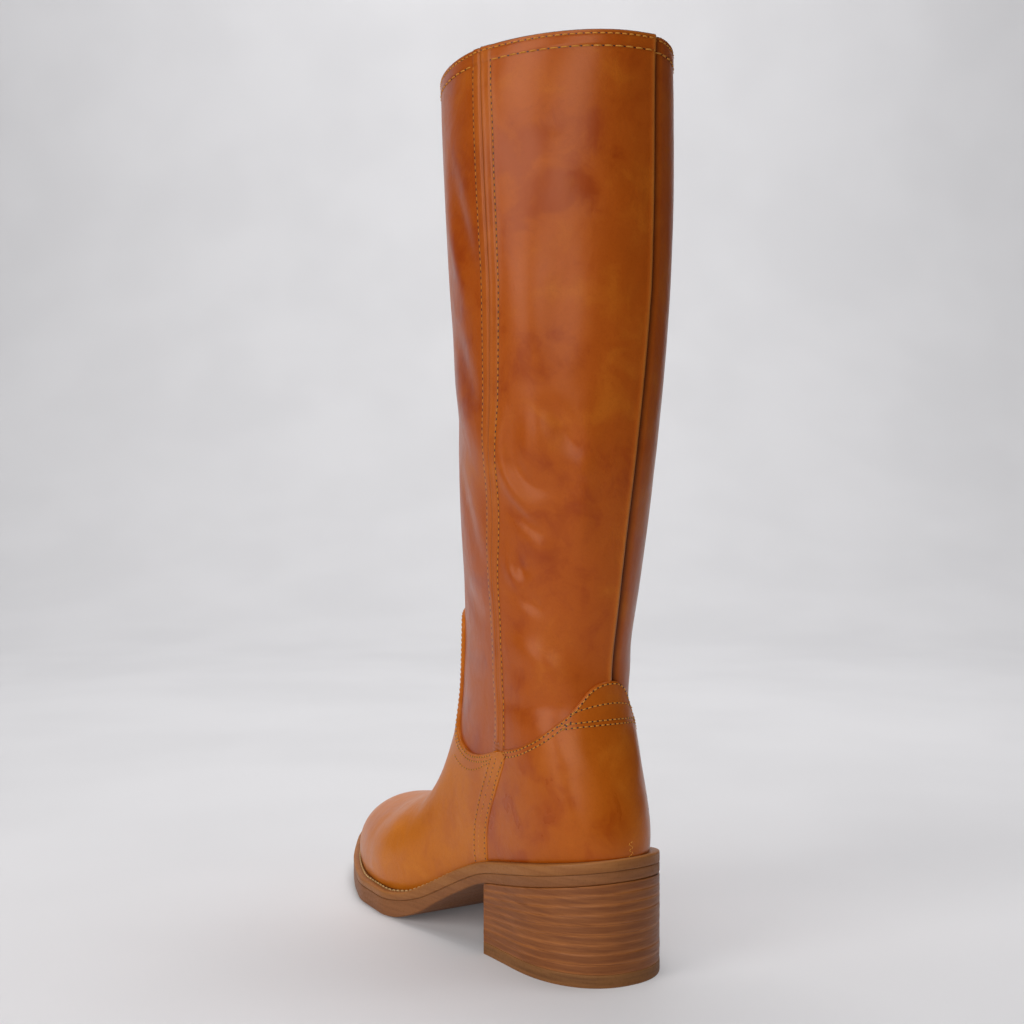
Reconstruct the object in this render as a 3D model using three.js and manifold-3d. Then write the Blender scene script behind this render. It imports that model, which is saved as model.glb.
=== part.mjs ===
// A left knee-high boot: pull-on leather shaft, vamp and counter overlays, sewn welt and a stacked block heel.
// Millimetres, +Z up, toe towards +X, outer side of the foot towards +Y, floor at Z = 0.
import * as THREE from "three";
import { mergeVertices } from "three/addons/utils/BufferGeometryUtils.js";
import Module from "manifold-3d";

const wasm = await Module();
wasm.setup();

// Driving dimensions.
const GAP = 0.3; // clearance between pieces that touch
const UPPER_WALL = 2.0; // leather and lining of the foot and the shaft
const OVERLAY = 1.4; // leather of the vamp and the counter
const INSOLE = 3.0;
const TOP_LIFT = 5.8;
const HEEL_BREAST = 67; // straight front face of the heel
const WELT_INSET = 13; // how far the welt reaches in under the foot
const FOOT_TIP = 252.3; // where the leather of the toe ends
const NOSE_START = 209; // from here the foot rounds off to its tip
const NOSE_POWER = 2.4;
const NOSE_LOW = 0.35; // share of the section's height that is left at the very tip
const NOSE_RISE_POWER = 0.7;
const SOLE_BACK = -6;
const SOLE_TIP = 259;
const SOLE_NOSE_START = 208;
const SOLE_HEEL_START = 41; // behind this the heel rounds off
const SOLE_HEEL_POWER = 2.25;
const SOLE_SWING = -7; // the toe swings this far towards the inner side
const SWING_START = 150;
const TWIST = THREE.MathUtils.degToRad(11.2); // the shaft turns its front outwards
const TWIST_AXIS_X = 54.9;
const TWIST_LOW = 98.7;
const TWIST_HIGH = 318;
const RINGS_PER_ROW = 1.55; // facets along the form
const TIP_RINGS = [0, 0.12, 0.3]; // extra ones where the toe rounds off, as row numbers
const RING_POINTS = 40; // facets round the form
const PAST_COLLAR = 15; // how far the form that hollows out the upper runs past its collar
const BEYOND = 400; // half size of the forms that only cut
const HALF_WIDTH_OF_CUTS = 90;
const WELT_STEPS = 24; // straight pieces of the cut along the welt's top

// Sections of the last and leg, from the toe over the foot and round the ankle up to the collar. Each is a closed
// curve in the plane through a back or bottom point and a front or top point, upright across the boot.
const FORM_COLUMNS = [
  "backX", "backZ", "frontX", "frontZ", // the two ends of the section in the boot's side view
  "outer", "inner", // half widths to either side
  "widest", // where the section is widest, as a share of the way from back to front
  "backPower", "frontPower", // how square the two ends are
  "backShift", "frontShift", // sideways shift of the two ends
];
const FORM_ROWS = [
  [252, 8, 252, 31.5, 23.5, 29.5, 0.45, 2.4, 2.0, -7, -6],
  [240.5, 5, 237.5, 40.5, 25.5, 31.5, 0.45, 2.4, 2.0, -5.5, -5],
  [224.5, 3, 219, 46, 29.5, 35, 0.45, 2.4, 2.0, -3.5, -4],
  [205, 1, 199.5, 49.5, 35.5, 38.5, 0.44, 2.5, 2.0, -1.5, -3],
  [184, 0, 177, 54, 41, 40.5, 0.43, 2.6, 2.0, 0, -2],
  [161, 0, 155, 61.5, 43.5, 39.5, 0.42, 2.8, 2.0, 0.5, 0],
  [136, 1, 138, 72, 41, 36, 0.42, 2.7, 1.9, 0.5, 0],
  [108, 8, 129, 89, 36.5, 32.5, 0.42, 2.6, 1.9, 0, 0],
  [79, 16, 124.5, 111, 33.5, 30.5, 0.41, 2.5, 1.9, 0, 0],
  [46, 22, 123.5, 132.5, 32.5, 29.5, 0.41, 2.5, 1.9, 0, 0],
  [12.5, 30, 123, 152, 32.5, 29, 0.42, 2.5, 2.0, 0, 0],
  [-2.3, 54, 122.5, 171, 32.5, 27.5, 0.43, 2.3, 2.0, 0, 0],
  [1.7, 86, 121.5, 195, 33, 25.8, 0.44, 2.1, 2.0, 0, 0],
  [10.5, 112, 119.5, 224, 34.5, 27.8, 0.47, 2.0, 2.0, 0, 0],
  [13, 139, 117, 254, 37.5, 33.5, 0.5, 1.95, 1.9, 0, 0],
  [9.5, 170, 116, 276, 40, 39, 0.5, 1.9, 1.8, 0, 0],
  [5.5, 203, 116, 294, 44.5, 43.5, 0.5, 1.86, 1.76, 0, 0],
  [1, 239, 116.5, 314, 46.5, 45.5, 0.5, 1.86, 1.76, 0, 0],
  [-3.5, 290, 118, 340, 49.5, 48.5, 0.5, 1.86, 1.76, 0, 0],
  [-6, 351, 119.5, 377, 52.5, 51.5, 0.5, 1.86, 1.76, 0, 0],
  [-6.5, 402, 122, 407, 52.5, 51.5, 0.5, 1.86, 1.76, 0, 0],
  [-7, 430, 124.5, 425.5, 50.5, 49.5, 0.5, 1.86, 1.76, 0, 0],
];

// Half widths of the sole's edge along its length, before the heel and the toe round it off.
const SOLE_WIDTHS = {
  x: [0, 60, 90, 112, 135, 155, 175, 195, 215, 235, 258],
  outer: [34.5, 35, 37.5, 41, 46, 49, 49, 45, 38.5, 31.5, 26],
  inner: [33.5, 33.5, 32, 34, 39.5, 44.5, 47, 47.5, 45.5, 42.5, 39],
};
// Heights along the sole: where the upper stands on the welt, and the tread.
const WELT_TOP = {
  x: [-10, 50, 70, 90, 110, 120, 135, 150, 170, 190, 210, 230, 262],
  z: [58.5, 47.5, 43.5, 36, 26, 21, 15, 13, 13, 13, 14.5, 17, 23],
};
const TREAD = {
  x: [-10, 50, 70, 90, 110, 120, 128, 135, 143, 150, 185, 200, 210, 230, 262],
  z: [47.7, 36.7, 33, 24.5, 14, 8, 4.5, 2, 0.3, 0, 0, 0.7, 1.6, 4.3, 10],
};
const BALL_FLAT = [150, 185]; // the tread is flat between these
const WELT_THICKNESS = {
  x: [-10, 60, 98, 116, 135, 160, 262],
  z: [5.3, 5.4, 6.4, 6, 4.2, 3.8, 3.8],
};

// Edges of the overlays in side view, as x and z.
const SEAM_TOP = [54, 100]; // where the vamp, the counter and the shaft meet
const VAMP_EDGE = [
  SEAM_TOP, [77, 94.5], [90, 94.5], [106, 101.5], [111, 111], [111.5, 125], [109, 153], [112.5, 160], [121, 164],
  [140, 165],
];
const COUNTER_EDGE = [SEAM_TOP, [38, 104], [24, 112], [17, 121.5], [13, 132.5], [11, 135.5], [5, 137], [-20, 137]];
const FOOT_SEAM = [SEAM_TOP, [62, 85], [71, 64], [73.5, 48], [73, 24]];

const MATERIALS = {
  leather: { color: 0xa5613a, roughness: 0.42, metalness: 0 },
  footLeather: { color: 0xb66d37, roughness: 0.4, metalness: 0 },
  counterLeather: { color: 0xa85f30, roughness: 0.38, metalness: 0 },
  lining: { color: 0xb98a5e, roughness: 0.8, metalness: 0 },
  welt: { color: 0x915b32, roughness: 0.6, metalness: 0 },
  outsole: { color: 0x784c31, roughness: 0.65, metalness: 0 },
  stack: { color: 0x704125, roughness: 0.5, metalness: 0 },
  rubber: { color: 0x6e4826, roughness: 0.7, metalness: 0 },
};

// Value of a smooth curve through evenly counted rows, at a real index.
function catmullRom(at, count, t) {
  const i = Math.min(Math.max(Math.floor(t), 0), count - 2);
  const f = t - i;
  const b = at(i);
  const c = at(i + 1);
  const a = i > 0 ? at(i - 1) : 2 * b - c;
  const d = i < count - 2 ? at(i + 2) : 2 * c - b;
  return 0.5 * (2 * b + (c - a) * f + (2 * a - 5 * b + 4 * c - d) * f * f + (3 * b - a - 3 * c + d) * f * f * f);
}

// Slope at each row of a table, limited so that the curve never overshoots its rows.
function tableSlopes(xs, values) {
  const chords = xs.slice(1).map((x, i) => (values[i + 1] - values[i]) / (x - xs[i]));
  const inner = chords.slice(1).map((next, i) => {
    const last = chords[i];
    return last * next <= 0 ? 0 : (2 * last * next) / (last + next);
  });
  return [chords[0], ...inner, chords[chords.length - 1]];
}

// A function of x through a table's rows.
function curveOf(xs, values) {
  const slopes = tableSlopes(xs, values);
  return (x) => {
    const at = Math.min(Math.max(x, xs[0]), xs[xs.length - 1]);
    const i = Math.min(Math.max(xs.findIndex((v) => v > at) - 1, 0), xs.length - 2);
    const row = at >= xs[xs.length - 1] ? xs.length - 2 : i;
    const h = xs[row + 1] - xs[row];
    const f = (at - xs[row]) / h;
    const rise = values[row + 1] - values[row];
    const bend = (slopes[row] * h - rise) * (1 - f) + (rise - slopes[row + 1] * h) * f;
    return values[row] + rise * f + f * (1 - f) * bend;
  };
}

const weltTop = curveOf(WELT_TOP.x, WELT_TOP.z);
const tread = curveOf(TREAD.x, TREAD.z);
const weltThickness = curveOf(WELT_THICKNESS.x, WELT_THICKNESS.z);
const outerWidth = curveOf(SOLE_WIDTHS.x, SOLE_WIDTHS.outer);
const innerWidth = curveOf(SOLE_WIDTHS.x, SOLE_WIDTHS.inner);

// How far a rounded end has closed, from 1 at its start to 0 at its tip.
function rounding(share, power) {
  const u = Math.min(Math.max(share, 0), 1);
  return Math.pow(1 - Math.pow(u, power), 1 / power);
}

// One section's sizes at a real row number.
function sectionSizes(t) {
  const sizes = {};
  FORM_COLUMNS.forEach((name, column) => {
    sizes[name] = catmullRom((i) => FORM_ROWS[i][column], FORM_ROWS.length, t);
  });
  return sizes;
}

// Turns a point of the leg outwards about an upright axis, more the higher it lies.
function twisted(point) {
  const share = THREE.MathUtils.clamp((point.z - TWIST_LOW) / (TWIST_HIGH - TWIST_LOW), 0, 1);
  const cos = Math.cos(TWIST * share);
  const sin = Math.sin(TWIST * share);
  const x = point.x - TWIST_AXIS_X;
  return new THREE.Vector3(TWIST_AXIS_X + x * cos - point.y * sin, x * sin + point.y * cos, point.z);
}

// A point of the form: t counts the table's rows, angle runs from the front over the outer side to the back.
function formPoint(t, angle) {
  const s = sectionSizes(t);
  const cos = Math.cos(angle);
  const sin = Math.sin(angle);
  const power = cos >= 0 ? s.frontPower : s.backPower;
  const along = Math.pow(Math.abs(cos), 2 / power);
  const share = cos >= 0 ? s.widest + (1 - s.widest) * along : s.widest * (1 - along);
  const nose = rounding((s.backX - NOSE_START) / (FOOT_TIP - NOSE_START), NOSE_POWER);
  const width = (sin >= 0 ? s.outer : -s.inner) * Math.pow(Math.abs(sin), 2 / power) * nose;
  const rise = NOSE_LOW + (1 - NOSE_LOW) * Math.pow(nose, NOSE_RISE_POWER);
  return twisted(new THREE.Vector3(
    s.backX + (s.frontX - s.backX) * share,
    s.backShift + (s.frontShift - s.backShift) * share + width,
    s.backZ + (s.frontZ - s.backZ) * share * rise,
  ));
}

// The form's outward direction, from its slopes along and around.
function formNormal(t, angle) {
  const step = 0.02;
  const last = FORM_ROWS.length - 1;
  const turn = 0.12;
  const along = formPoint(Math.min(t + step, last), angle).sub(formPoint(Math.max(t - step, 0), angle));
  const around = formPoint(t, angle + turn).sub(formPoint(t, angle - turn));
  return around.cross(along).normalize();
}

// Closed geometry from rings of points, all of one count, with a point at the middle of either end.
function loftGeometry(rings) {
  const count = rings[0].length;
  const middle = (ring) => ring.reduce((sum, p) => sum.add(p), new THREE.Vector3()).divideScalar(count);
  const points = [...rings.flat(), middle(rings[0]), middle(rings[rings.length - 1])];
  const start = points.length - 2;
  const end = points.length - 1;
  const lastRing = (rings.length - 1) * count;
  const index = [];
  for (let k = 0; k < count; k++) {
    const next = (k + 1) % count;
    for (let i = 0; i < rings.length - 1; i++) {
      const a = i * count + k;
      const b = i * count + next;
      index.push(a, b, b + count, a, b + count, a + count);
    }
    index.push(start, next, k, end, lastRing + k, lastRing + next);
  }
  const geometry = new THREE.BufferGeometry().setFromPoints(points);
  geometry.setIndex(index);
  return geometry;
}

// A manifold-3d solid of a closed geometry, whichever way its faces were wound.
function solidOf(geometry) {
  const plain = geometry.clone();
  plain.deleteAttribute("normal");
  plain.deleteAttribute("uv");
  const merged = mergeVertices(plain, 1e-4);
  const make = (triVerts) => new wasm.Manifold(new wasm.Mesh({
    numProp: 3,
    vertProperties: new Float32Array(merged.attributes.position.array),
    triVerts,
  }));
  const triVerts = new Uint32Array(merged.index.array);
  const solid = make(triVerts);
  return solid.volume() > 0 ? solid : make(triVerts.slice().reverse());
}

// The foot and leg, grown by a distance; it runs on past the collar where it has to cut it open.
function formSolid(offset, pastCollar = 0) {
  const last = FORM_ROWS.length - 1;
  const ringCount = Math.round(last * RINGS_PER_ROW);
  const places = [...TIP_RINGS];
  for (let i = 1; i <= ringCount; i++) places.push((last * i) / ringCount);
  const rings = places.map((t) => Array.from({ length: RING_POINTS }, (_, k) => {
    const angle = (2 * Math.PI * k) / RING_POINTS;
    return formPoint(t, angle).addScaledVector(formNormal(t, angle), offset);
  }));
  if (pastCollar > 0) {
    rings.push(rings[rings.length - 1].map((p) => p.clone().add(new THREE.Vector3(0, 0, pastCollar))));
  }
  return solidOf(loftGeometry(rings));
}

// A smooth open line through a few points, as x and z.
function smoothLine(points, divisions = 4) {
  const curve = new THREE.CatmullRomCurve3(points.map(([x, z]) => new THREE.Vector3(x, 0, z)), false, "centripetal");
  return curve.getPoints(divisions * (points.length - 1)).map((p) => [p.x, p.z]);
}

// A cutting form: an outline in side view, run right across the boot.
function sideCut(outline) {
  const shape = new THREE.Shape(outline.map(([x, z]) => new THREE.Vector2(x, z)));
  const geometry = new THREE.ExtrudeGeometry(shape, { depth: 2 * HALF_WIDTH_OF_CUTS, bevelEnabled: false });
  geometry.rotateX(Math.PI / 2);
  geometry.translate(0, HALF_WIDTH_OF_CUTS, 0);
  return solidOf(geometry);
}

// Everything that lies higher than the welt's top by a distance.
function aboveWelt(height) {
  const back = WELT_TOP.x[0];
  const reach = WELT_TOP.x[WELT_TOP.x.length - 1] - back;
  const edge = [];
  for (let i = 0; i <= WELT_STEPS; i++) {
    const x = back + (reach * i) / WELT_STEPS;
    edge.push([x, weltTop(x) + height]);
  }
  const low = edge[0];
  const high = edge[edge.length - 1];
  return sideCut([[-BEYOND, low[1]], ...edge, [BEYOND, high[1]], [BEYOND, 2 * BEYOND], [-BEYOND, 2 * BEYOND]]);
}

// Places along the sole, closer together at its round ends.
function soleStations(from, to, count, fixed = []) {
  const places = [...fixed];
  for (let i = 0; i <= count; i++) {
    const x = from + ((to - from) * (1 - Math.cos((Math.PI * i) / count))) / 2;
    if (fixed.every((f) => Math.abs(f - x) > 1.5)) places.push(x);
  }
  return places.sort((a, b) => a - b);
}

// The sole's two edges at x, drawn in by an inset.
function soleEdges(x, inset = 0) {
  const nose = rounding((x - SOLE_NOSE_START) / (SOLE_TIP - inset - SOLE_NOSE_START), NOSE_POWER);
  const heel = rounding((SOLE_HEEL_START - x) / (SOLE_HEEL_START - SOLE_BACK - inset), SOLE_HEEL_POWER);
  const swing = SOLE_SWING * Math.max(0, (x - SWING_START) / (SOLE_TIP - SWING_START));
  return {
    outer: swing + (outerWidth(x) - inset) * nose * heel,
    inner: swing - (innerWidth(x) - inset) * nose * heel,
  };
}

// A slab in the sole's outline, between two heights that vary along it.
function soleSlab(places, bottom, top, inset = 0) {
  const rings = places.map((x) => {
    const edge = soleEdges(x, inset);
    return [
      new THREE.Vector3(x, edge.outer, bottom(x)),
      new THREE.Vector3(x, edge.outer, top(x)),
      new THREE.Vector3(x, edge.inner, top(x)),
      new THREE.Vector3(x, edge.inner, bottom(x)),
    ];
  });
  return solidOf(loftGeometry(rings));
}

// Slabs stop short of the sole's very back and tip, where they keep a narrow flat.
const BLUNT = 0.12;
const SOLE_FACETS = 48;
const HOLE_FACETS = 30;
const HEEL_FACETS = 16;

function upperSolid() {
  const shell = formSolid(0).subtract(formSolid(-UPPER_WALL, PAST_COLLAR));
  return shell.intersect(aboveWelt(GAP));
}

// A skin that lies over the upper, cut to an outline in side view.
function overlaySolid(outline) {
  const skin = formSolid(GAP + OVERLAY).subtract(formSolid(GAP));
  return skin.intersect(sideCut(outline)).intersect(aboveWelt(GAP));
}

function vampSolid() {
  const seam = smoothLine(FOOT_SEAM).map(([x, z]) => [x + GAP / 2, z]);
  const edge = smoothLine(VAMP_EDGE).slice(1).map(([x, z]) => [x + GAP / 2, z]);
  const top = edge[edge.length - 1][1];
  const foot = seam[seam.length - 1][0];
  return overlaySolid([...seam.reverse(), ...edge, [BEYOND, top], [BEYOND, -BEYOND], [foot, -BEYOND]]);
}

function counterSolid() {
  const seam = smoothLine(FOOT_SEAM).map(([x, z]) => [x - GAP / 2, z]);
  const edge = smoothLine(COUNTER_EDGE).slice(1).map(([x, z]) => [x - GAP / 2, z]);
  const top = edge[edge.length - 1][1];
  const foot = seam[seam.length - 1][0];
  return overlaySolid([...seam.reverse(), ...edge, [-BEYOND, top], [-BEYOND, -BEYOND], [foot, -BEYOND]]);
}

function insoleSolid() {
  const room = formSolid(-UPPER_WALL - GAP);
  return room.intersect(aboveWelt(GAP)).subtract(aboveWelt(GAP + INSOLE));
}

function weltSolid() {
  const places = soleStations(SOLE_BACK + BLUNT, SOLE_TIP - BLUNT, SOLE_FACETS);
  const holeBack = SOLE_BACK + WELT_INSET + BLUNT;
  const holeTip = SOLE_TIP - WELT_INSET - BLUNT;
  const hole = soleSlab(
    soleStations(holeBack, holeTip, HOLE_FACETS),
    (x) => weltTop(x) - 2 * weltThickness(x),
    (x) => weltTop(x) + weltThickness(x),
    WELT_INSET,
  );
  return soleSlab(places, (x) => weltTop(x) - weltThickness(x), weltTop).subtract(hole);
}

function outsoleSolid() {
  const places = soleStations(SOLE_BACK + BLUNT, SOLE_TIP - BLUNT, SOLE_FACETS, BALL_FLAT);
  return soleSlab(places, tread, (x) => weltTop(x) - weltThickness(x) - GAP);
}

function heelPlaces() {
  const straight = (SOLE_HEEL_START + HEEL_BREAST) / 2;
  return soleStations(SOLE_BACK + BLUNT, SOLE_HEEL_START, HEEL_FACETS).concat([straight, HEEL_BREAST]);
}

function heelStackSolid() {
  return soleSlab(heelPlaces(), () => TOP_LIFT + GAP, (x) => tread(x) - GAP);
}

function topLiftSolid() {
  return soleSlab(heelPlaces(), () => 0, () => TOP_LIFT);
}

// A named mesh of a solid.
function meshOf(name, solid, material) {
  const { numProp, vertProperties, triVerts } = solid.getMesh();
  const positions = new Float32Array((vertProperties.length / numProp) * 3);
  for (let v = 0; v < positions.length / 3; v++) {
    positions.set(vertProperties.subarray(v * numProp, v * numProp + 3), v * 3);
  }
  const geometry = new THREE.BufferGeometry();
  geometry.setAttribute("position", new THREE.BufferAttribute(positions, 3));
  geometry.setIndex(new THREE.BufferAttribute(new Uint32Array(triVerts), 1));
  geometry.computeVertexNormals();
  const mesh = new THREE.Mesh(geometry, new THREE.MeshStandardMaterial(material));
  mesh.name = name;
  return mesh;
}

const boot = new THREE.Group();
boot.add(
  meshOf("upper", upperSolid(), MATERIALS.leather),
  meshOf("vamp", vampSolid(), MATERIALS.footLeather),
  meshOf("counter", counterSolid(), MATERIALS.counterLeather),
  meshOf("insole", insoleSolid(), MATERIALS.lining),
  meshOf("welt", weltSolid(), MATERIALS.welt),
  meshOf("outsole", outsoleSolid(), MATERIALS.outsole),
  meshOf("heel_stack", heelStackSolid(), MATERIALS.stack),
  meshOf("top_lift", topLiftSolid(), MATERIALS.rubber),
);

// The origin is on the floor, under the middle of the boot's box.
const box = new THREE.Box3().setFromObject(boot, true);
const centre = box.getCenter(new THREE.Vector3());
boot.position.set(-centre.x, -centre.y, -box.min.z);

export default boot;
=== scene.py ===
# Looks of the left knee-high boot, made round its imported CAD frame.
# Sizes are millimetres in the shoe's own frame: toe towards +X, outer side towards +Y, floor at Z = 0.
# in_frame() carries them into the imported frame, in metres.
import math

import bmesh
import bpy
import numpy as np
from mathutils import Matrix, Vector


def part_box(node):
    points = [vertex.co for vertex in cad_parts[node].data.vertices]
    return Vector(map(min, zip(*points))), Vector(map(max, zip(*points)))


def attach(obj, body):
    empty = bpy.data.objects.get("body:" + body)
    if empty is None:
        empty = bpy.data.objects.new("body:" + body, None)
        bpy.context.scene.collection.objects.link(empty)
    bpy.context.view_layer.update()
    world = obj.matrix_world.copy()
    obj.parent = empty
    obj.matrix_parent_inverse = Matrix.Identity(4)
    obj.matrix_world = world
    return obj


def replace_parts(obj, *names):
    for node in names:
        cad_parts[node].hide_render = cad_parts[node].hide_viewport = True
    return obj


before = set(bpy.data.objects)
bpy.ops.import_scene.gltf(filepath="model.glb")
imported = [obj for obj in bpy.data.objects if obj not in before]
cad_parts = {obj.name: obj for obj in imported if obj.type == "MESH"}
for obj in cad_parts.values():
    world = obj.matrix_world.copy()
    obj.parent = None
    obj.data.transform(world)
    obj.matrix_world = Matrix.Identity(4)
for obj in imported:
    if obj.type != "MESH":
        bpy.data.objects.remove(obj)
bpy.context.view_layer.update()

# ---------------------------------------------------------------- sizes

GAP = 0.3  # between pieces that touch
UPPER_WALL = 2.0
OVERLAY = 1.4  # leather of the vamp and the counter
TOP_LIFT = 5.8
HEEL_BREAST = 67
WELT_INSET = 13
FOOT_TIP = 252.3
NOSE_START = 209
NOSE_POWER = 2.4
NOSE_LOW = 0.35
NOSE_RISE_POWER = 0.7
SOLE_BACK = -6
SOLE_TIP = 259
SOLE_NOSE_START = 208
SOLE_HEEL_START = 41
SOLE_HEEL_POWER = 2.25
SOLE_SWING = -7
SWING_START = 150
TWIST = math.radians(11.2)
TWIST_AXIS_X = 54.9
TWIST_LOW = 98.7
TWIST_HIGH = 318
SKIN = GAP + OVERLAY  # how far the outside of vamp and counter stands off the upper

# Sections of the last and leg, from the toe round the ankle up to the collar: the two ends of each section in
# side view, half widths, where it is widest, how square its ends are, and the sideways shift of the ends.
FORM_COLUMNS = [
    "backX", "backZ", "frontX", "frontZ", "outer", "inner", "widest", "backPower", "frontPower",
    "backShift", "frontShift",
]
FORM_ROWS = np.array([
    [252, 8, 252, 31.5, 23.5, 29.5, 0.45, 2.4, 2.0, -7, -6],
    [240.5, 5, 237.5, 40.5, 25.5, 31.5, 0.45, 2.4, 2.0, -5.5, -5],
    [224.5, 3, 219, 46, 29.5, 35, 0.45, 2.4, 2.0, -3.5, -4],
    [205, 1, 199.5, 49.5, 35.5, 38.5, 0.44, 2.5, 2.0, -1.5, -3],
    [184, 0, 177, 54, 41, 40.5, 0.43, 2.6, 2.0, 0, -2],
    [161, 0, 155, 61.5, 43.5, 39.5, 0.42, 2.8, 2.0, 0.5, 0],
    [136, 1, 138, 72, 41, 36, 0.42, 2.7, 1.9, 0.5, 0],
    [108, 8, 129, 89, 36.5, 32.5, 0.42, 2.6, 1.9, 0, 0],
    [79, 16, 124.5, 111, 33.5, 30.5, 0.41, 2.5, 1.9, 0, 0],
    [46, 22, 123.5, 132.5, 32.5, 29.5, 0.41, 2.5, 1.9, 0, 0],
    [12.5, 30, 123, 152, 32.5, 29, 0.42, 2.5, 2.0, 0, 0],
    [-2.3, 54, 122.5, 171, 32.5, 27.5, 0.43, 2.3, 2.0, 0, 0],
    [1.7, 86, 121.5, 195, 33, 25.8, 0.44, 2.1, 2.0, 0, 0],
    [10.5, 112, 119.5, 224, 34.5, 27.8, 0.47, 2.0, 2.0, 0, 0],
    [13, 139, 117, 254, 37.5, 33.5, 0.5, 1.95, 1.9, 0, 0],
    [9.5, 170, 116, 276, 40, 39, 0.5, 1.9, 1.8, 0, 0],
    [5.5, 203, 116, 294, 44.5, 43.5, 0.5, 1.86, 1.76, 0, 0],
    [1, 239, 116.5, 314, 46.5, 45.5, 0.5, 1.86, 1.76, 0, 0],
    [-3.5, 290, 118, 340, 49.5, 48.5, 0.5, 1.86, 1.76, 0, 0],
    [-6, 351, 119.5, 377, 52.5, 51.5, 0.5, 1.86, 1.76, 0, 0],
    [-6.5, 402, 122, 407, 52.5, 51.5, 0.5, 1.86, 1.76, 0, 0],
    [-7, 430, 124.5, 425.5, 50.5, 49.5, 0.5, 1.86, 1.76, 0, 0],
])
LAST_ROW = len(FORM_ROWS) - 1

# Half widths of the sole's edge, and heights along it, at stations in x.
SOLE_WIDTHS = {
    "x": [0, 60, 90, 112, 135, 155, 175, 195, 215, 235, 258],
    "outer": [34.5, 35, 37.5, 41, 46, 49, 49, 45, 38.5, 31.5, 26],
    "inner": [33.5, 33.5, 32, 34, 39.5, 44.5, 47, 47.5, 45.5, 42.5, 39],
}
WELT_TOP = {
    "x": [-10, 50, 70, 90, 110, 120, 135, 150, 170, 190, 210, 230, 262],
    "z": [58.5, 47.5, 43.5, 36, 26, 21, 15, 13, 13, 13, 14.5, 17, 23],
}
TREAD = {
    "x": [-10, 50, 70, 90, 110, 120, 128, 135, 143, 150, 185, 200, 210, 230, 262],
    "z": [47.7, 36.7, 33, 24.5, 14, 8, 4.5, 2, 0.3, 0, 0, 0.7, 1.6, 4.3, 10],
}
WELT_THICKNESS = {
    "x": [-10, 60, 98, 116, 135, 160, 262],
    "z": [5.3, 5.4, 6.4, 6, 4.2, 3.8, 3.8],
}

# Edges of the overlays in side view, as x and z.
SEAM_TOP = (54, 100)  # where the vamp, the counter and the shaft meet
VAMP_EDGE = [
    SEAM_TOP, (77, 94.5), (90, 94.5), (106, 101.5), (111, 111), (111.5, 125), (109, 153), (112.5, 160),
    (121, 164), (140, 165),
]
COUNTER_EDGE = [SEAM_TOP, (38, 104), (24, 112), (17, 121.5), (13, 132.5), (11, 135.5), (5, 137), (-20, 137)]
FOOT_SEAM = [SEAM_TOP, (62, 85), (71, 64), (73.5, 48), (73, 24)]
VAMP_THIRD_ROW = [(106, 90), (92, 86), (80, 86.5), (65, 92)]
BEYOND = 400  # past everything, for outlines that only cut
SEAM_STRIP = 6.2  # half width of the strip over the foot's seam
STRIP_THICKNESS = 0.35

# Where the side seams run, at row numbers of the form: degrees from the front, the same on either side.
SIDE_SEAM = {
    "x": [10, 11.5, 13.5, 14.5, 17.5, 21],
    "degrees": [88, 85, 96, 98.5, 98, 94],
}
SEAM_BAND = 5.7  # from the side seam to its rows of stitches
HEM_ROWS = [2.0, 7.6]  # rows of stitches below the collar's edge

# Ridges and grooves of the shaft: height, distance from the seam or the edge, and half width.
SIDE_BAND_RISE = 0.5
SIDE_RIDGE = (0.3, 0.9, 0.8)
SIDE_GROOVE = (-0.6, -0.5, 0.5)
ROW_GROOVE = (-0.3, SEAM_BAND, 0.5)
LAP_RISE = 0.6
LAP_RIDGE = (0.5, 1.2, 0.9)  # the outer side laps over the inner side at the back seam
BACK_GAP_DEPTH = 1.5
BACK_SEAM_REACH = 12
HEM_RISE = 0.3
HEM_GROOVE_DEPTH = 0.22
HEM_GROOVE_WIDTH = 0.55
STRIP_RIDGE = (0.3, 0, 1.0)  # along the middle of the strip over the foot's seam

# Painted shade in the seams, and paler raised edges, partly from rubbing and partly painted highlight, from 0
# to 1, given in the same way.
SIDE_SHADE = (0.55, 0.4, 0.6)
ROW_SHADE = (0.35, SEAM_BAND, 0.8)
HEM_ROW_SHADE = 0.3
LAP_RUB_AND_HIGHLIGHT = (0.9, 1.0, 0.8)
COLLAR_EDGE_PALER = (0.4, 0.4, 0.8)
BAND_RUB_AND_HIGHLIGHT = 0.22

RIM_DROP = 0.55  # the collar's rounded edge starts this far below its top
OVERLAY_TUCK = 0.35  # the overlays run this far down behind the welt's top
SHAFT_RADIUS = 48  # mean, to measure the folds' angles in millimetres

# Rows of stitches. Those round the back of the counter are given by their height at the back, how far the
# ends hang below it, and how many degrees round from the back they lie.
COUNTER_ROWS = [(125, 4.5, 32), (117.5, 2.4, 42), (115.4, 2.2, 42)]
TAB_SIDE = math.radians(147)  # where the edge's second row leaves it to run across the tab
EDGE_ROWS = [1.4, 3.6]  # below the overlays' edges
STRIP_ROWS = [-4.5, 0.4, 4.5]  # ahead of the foot's seam
SIDE_ROWS_END = 101.5  # the shaft's rows stay above this height
COUNTER_ROWS_END = 97
VAMP_ROWS_END = 88
STRIP_ROWS_TOP = 98
STRIP_X = (52.5, 56)  # the overlays' rows stop behind and ahead of the strip, between these
THIRD_ROW_X = (65, 107)
THIRD_ROW_Z = (80, 94)
BACK_ROW_END = 139
HEEL_ZIGZAG = (56.5, 64.5)
ZIGZAG_STEP = 1.3
ZIGZAG_SWAY = 0.9
WELT_ROW_INSET = 3.6
WELT_ROW_BACK = 100
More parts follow.
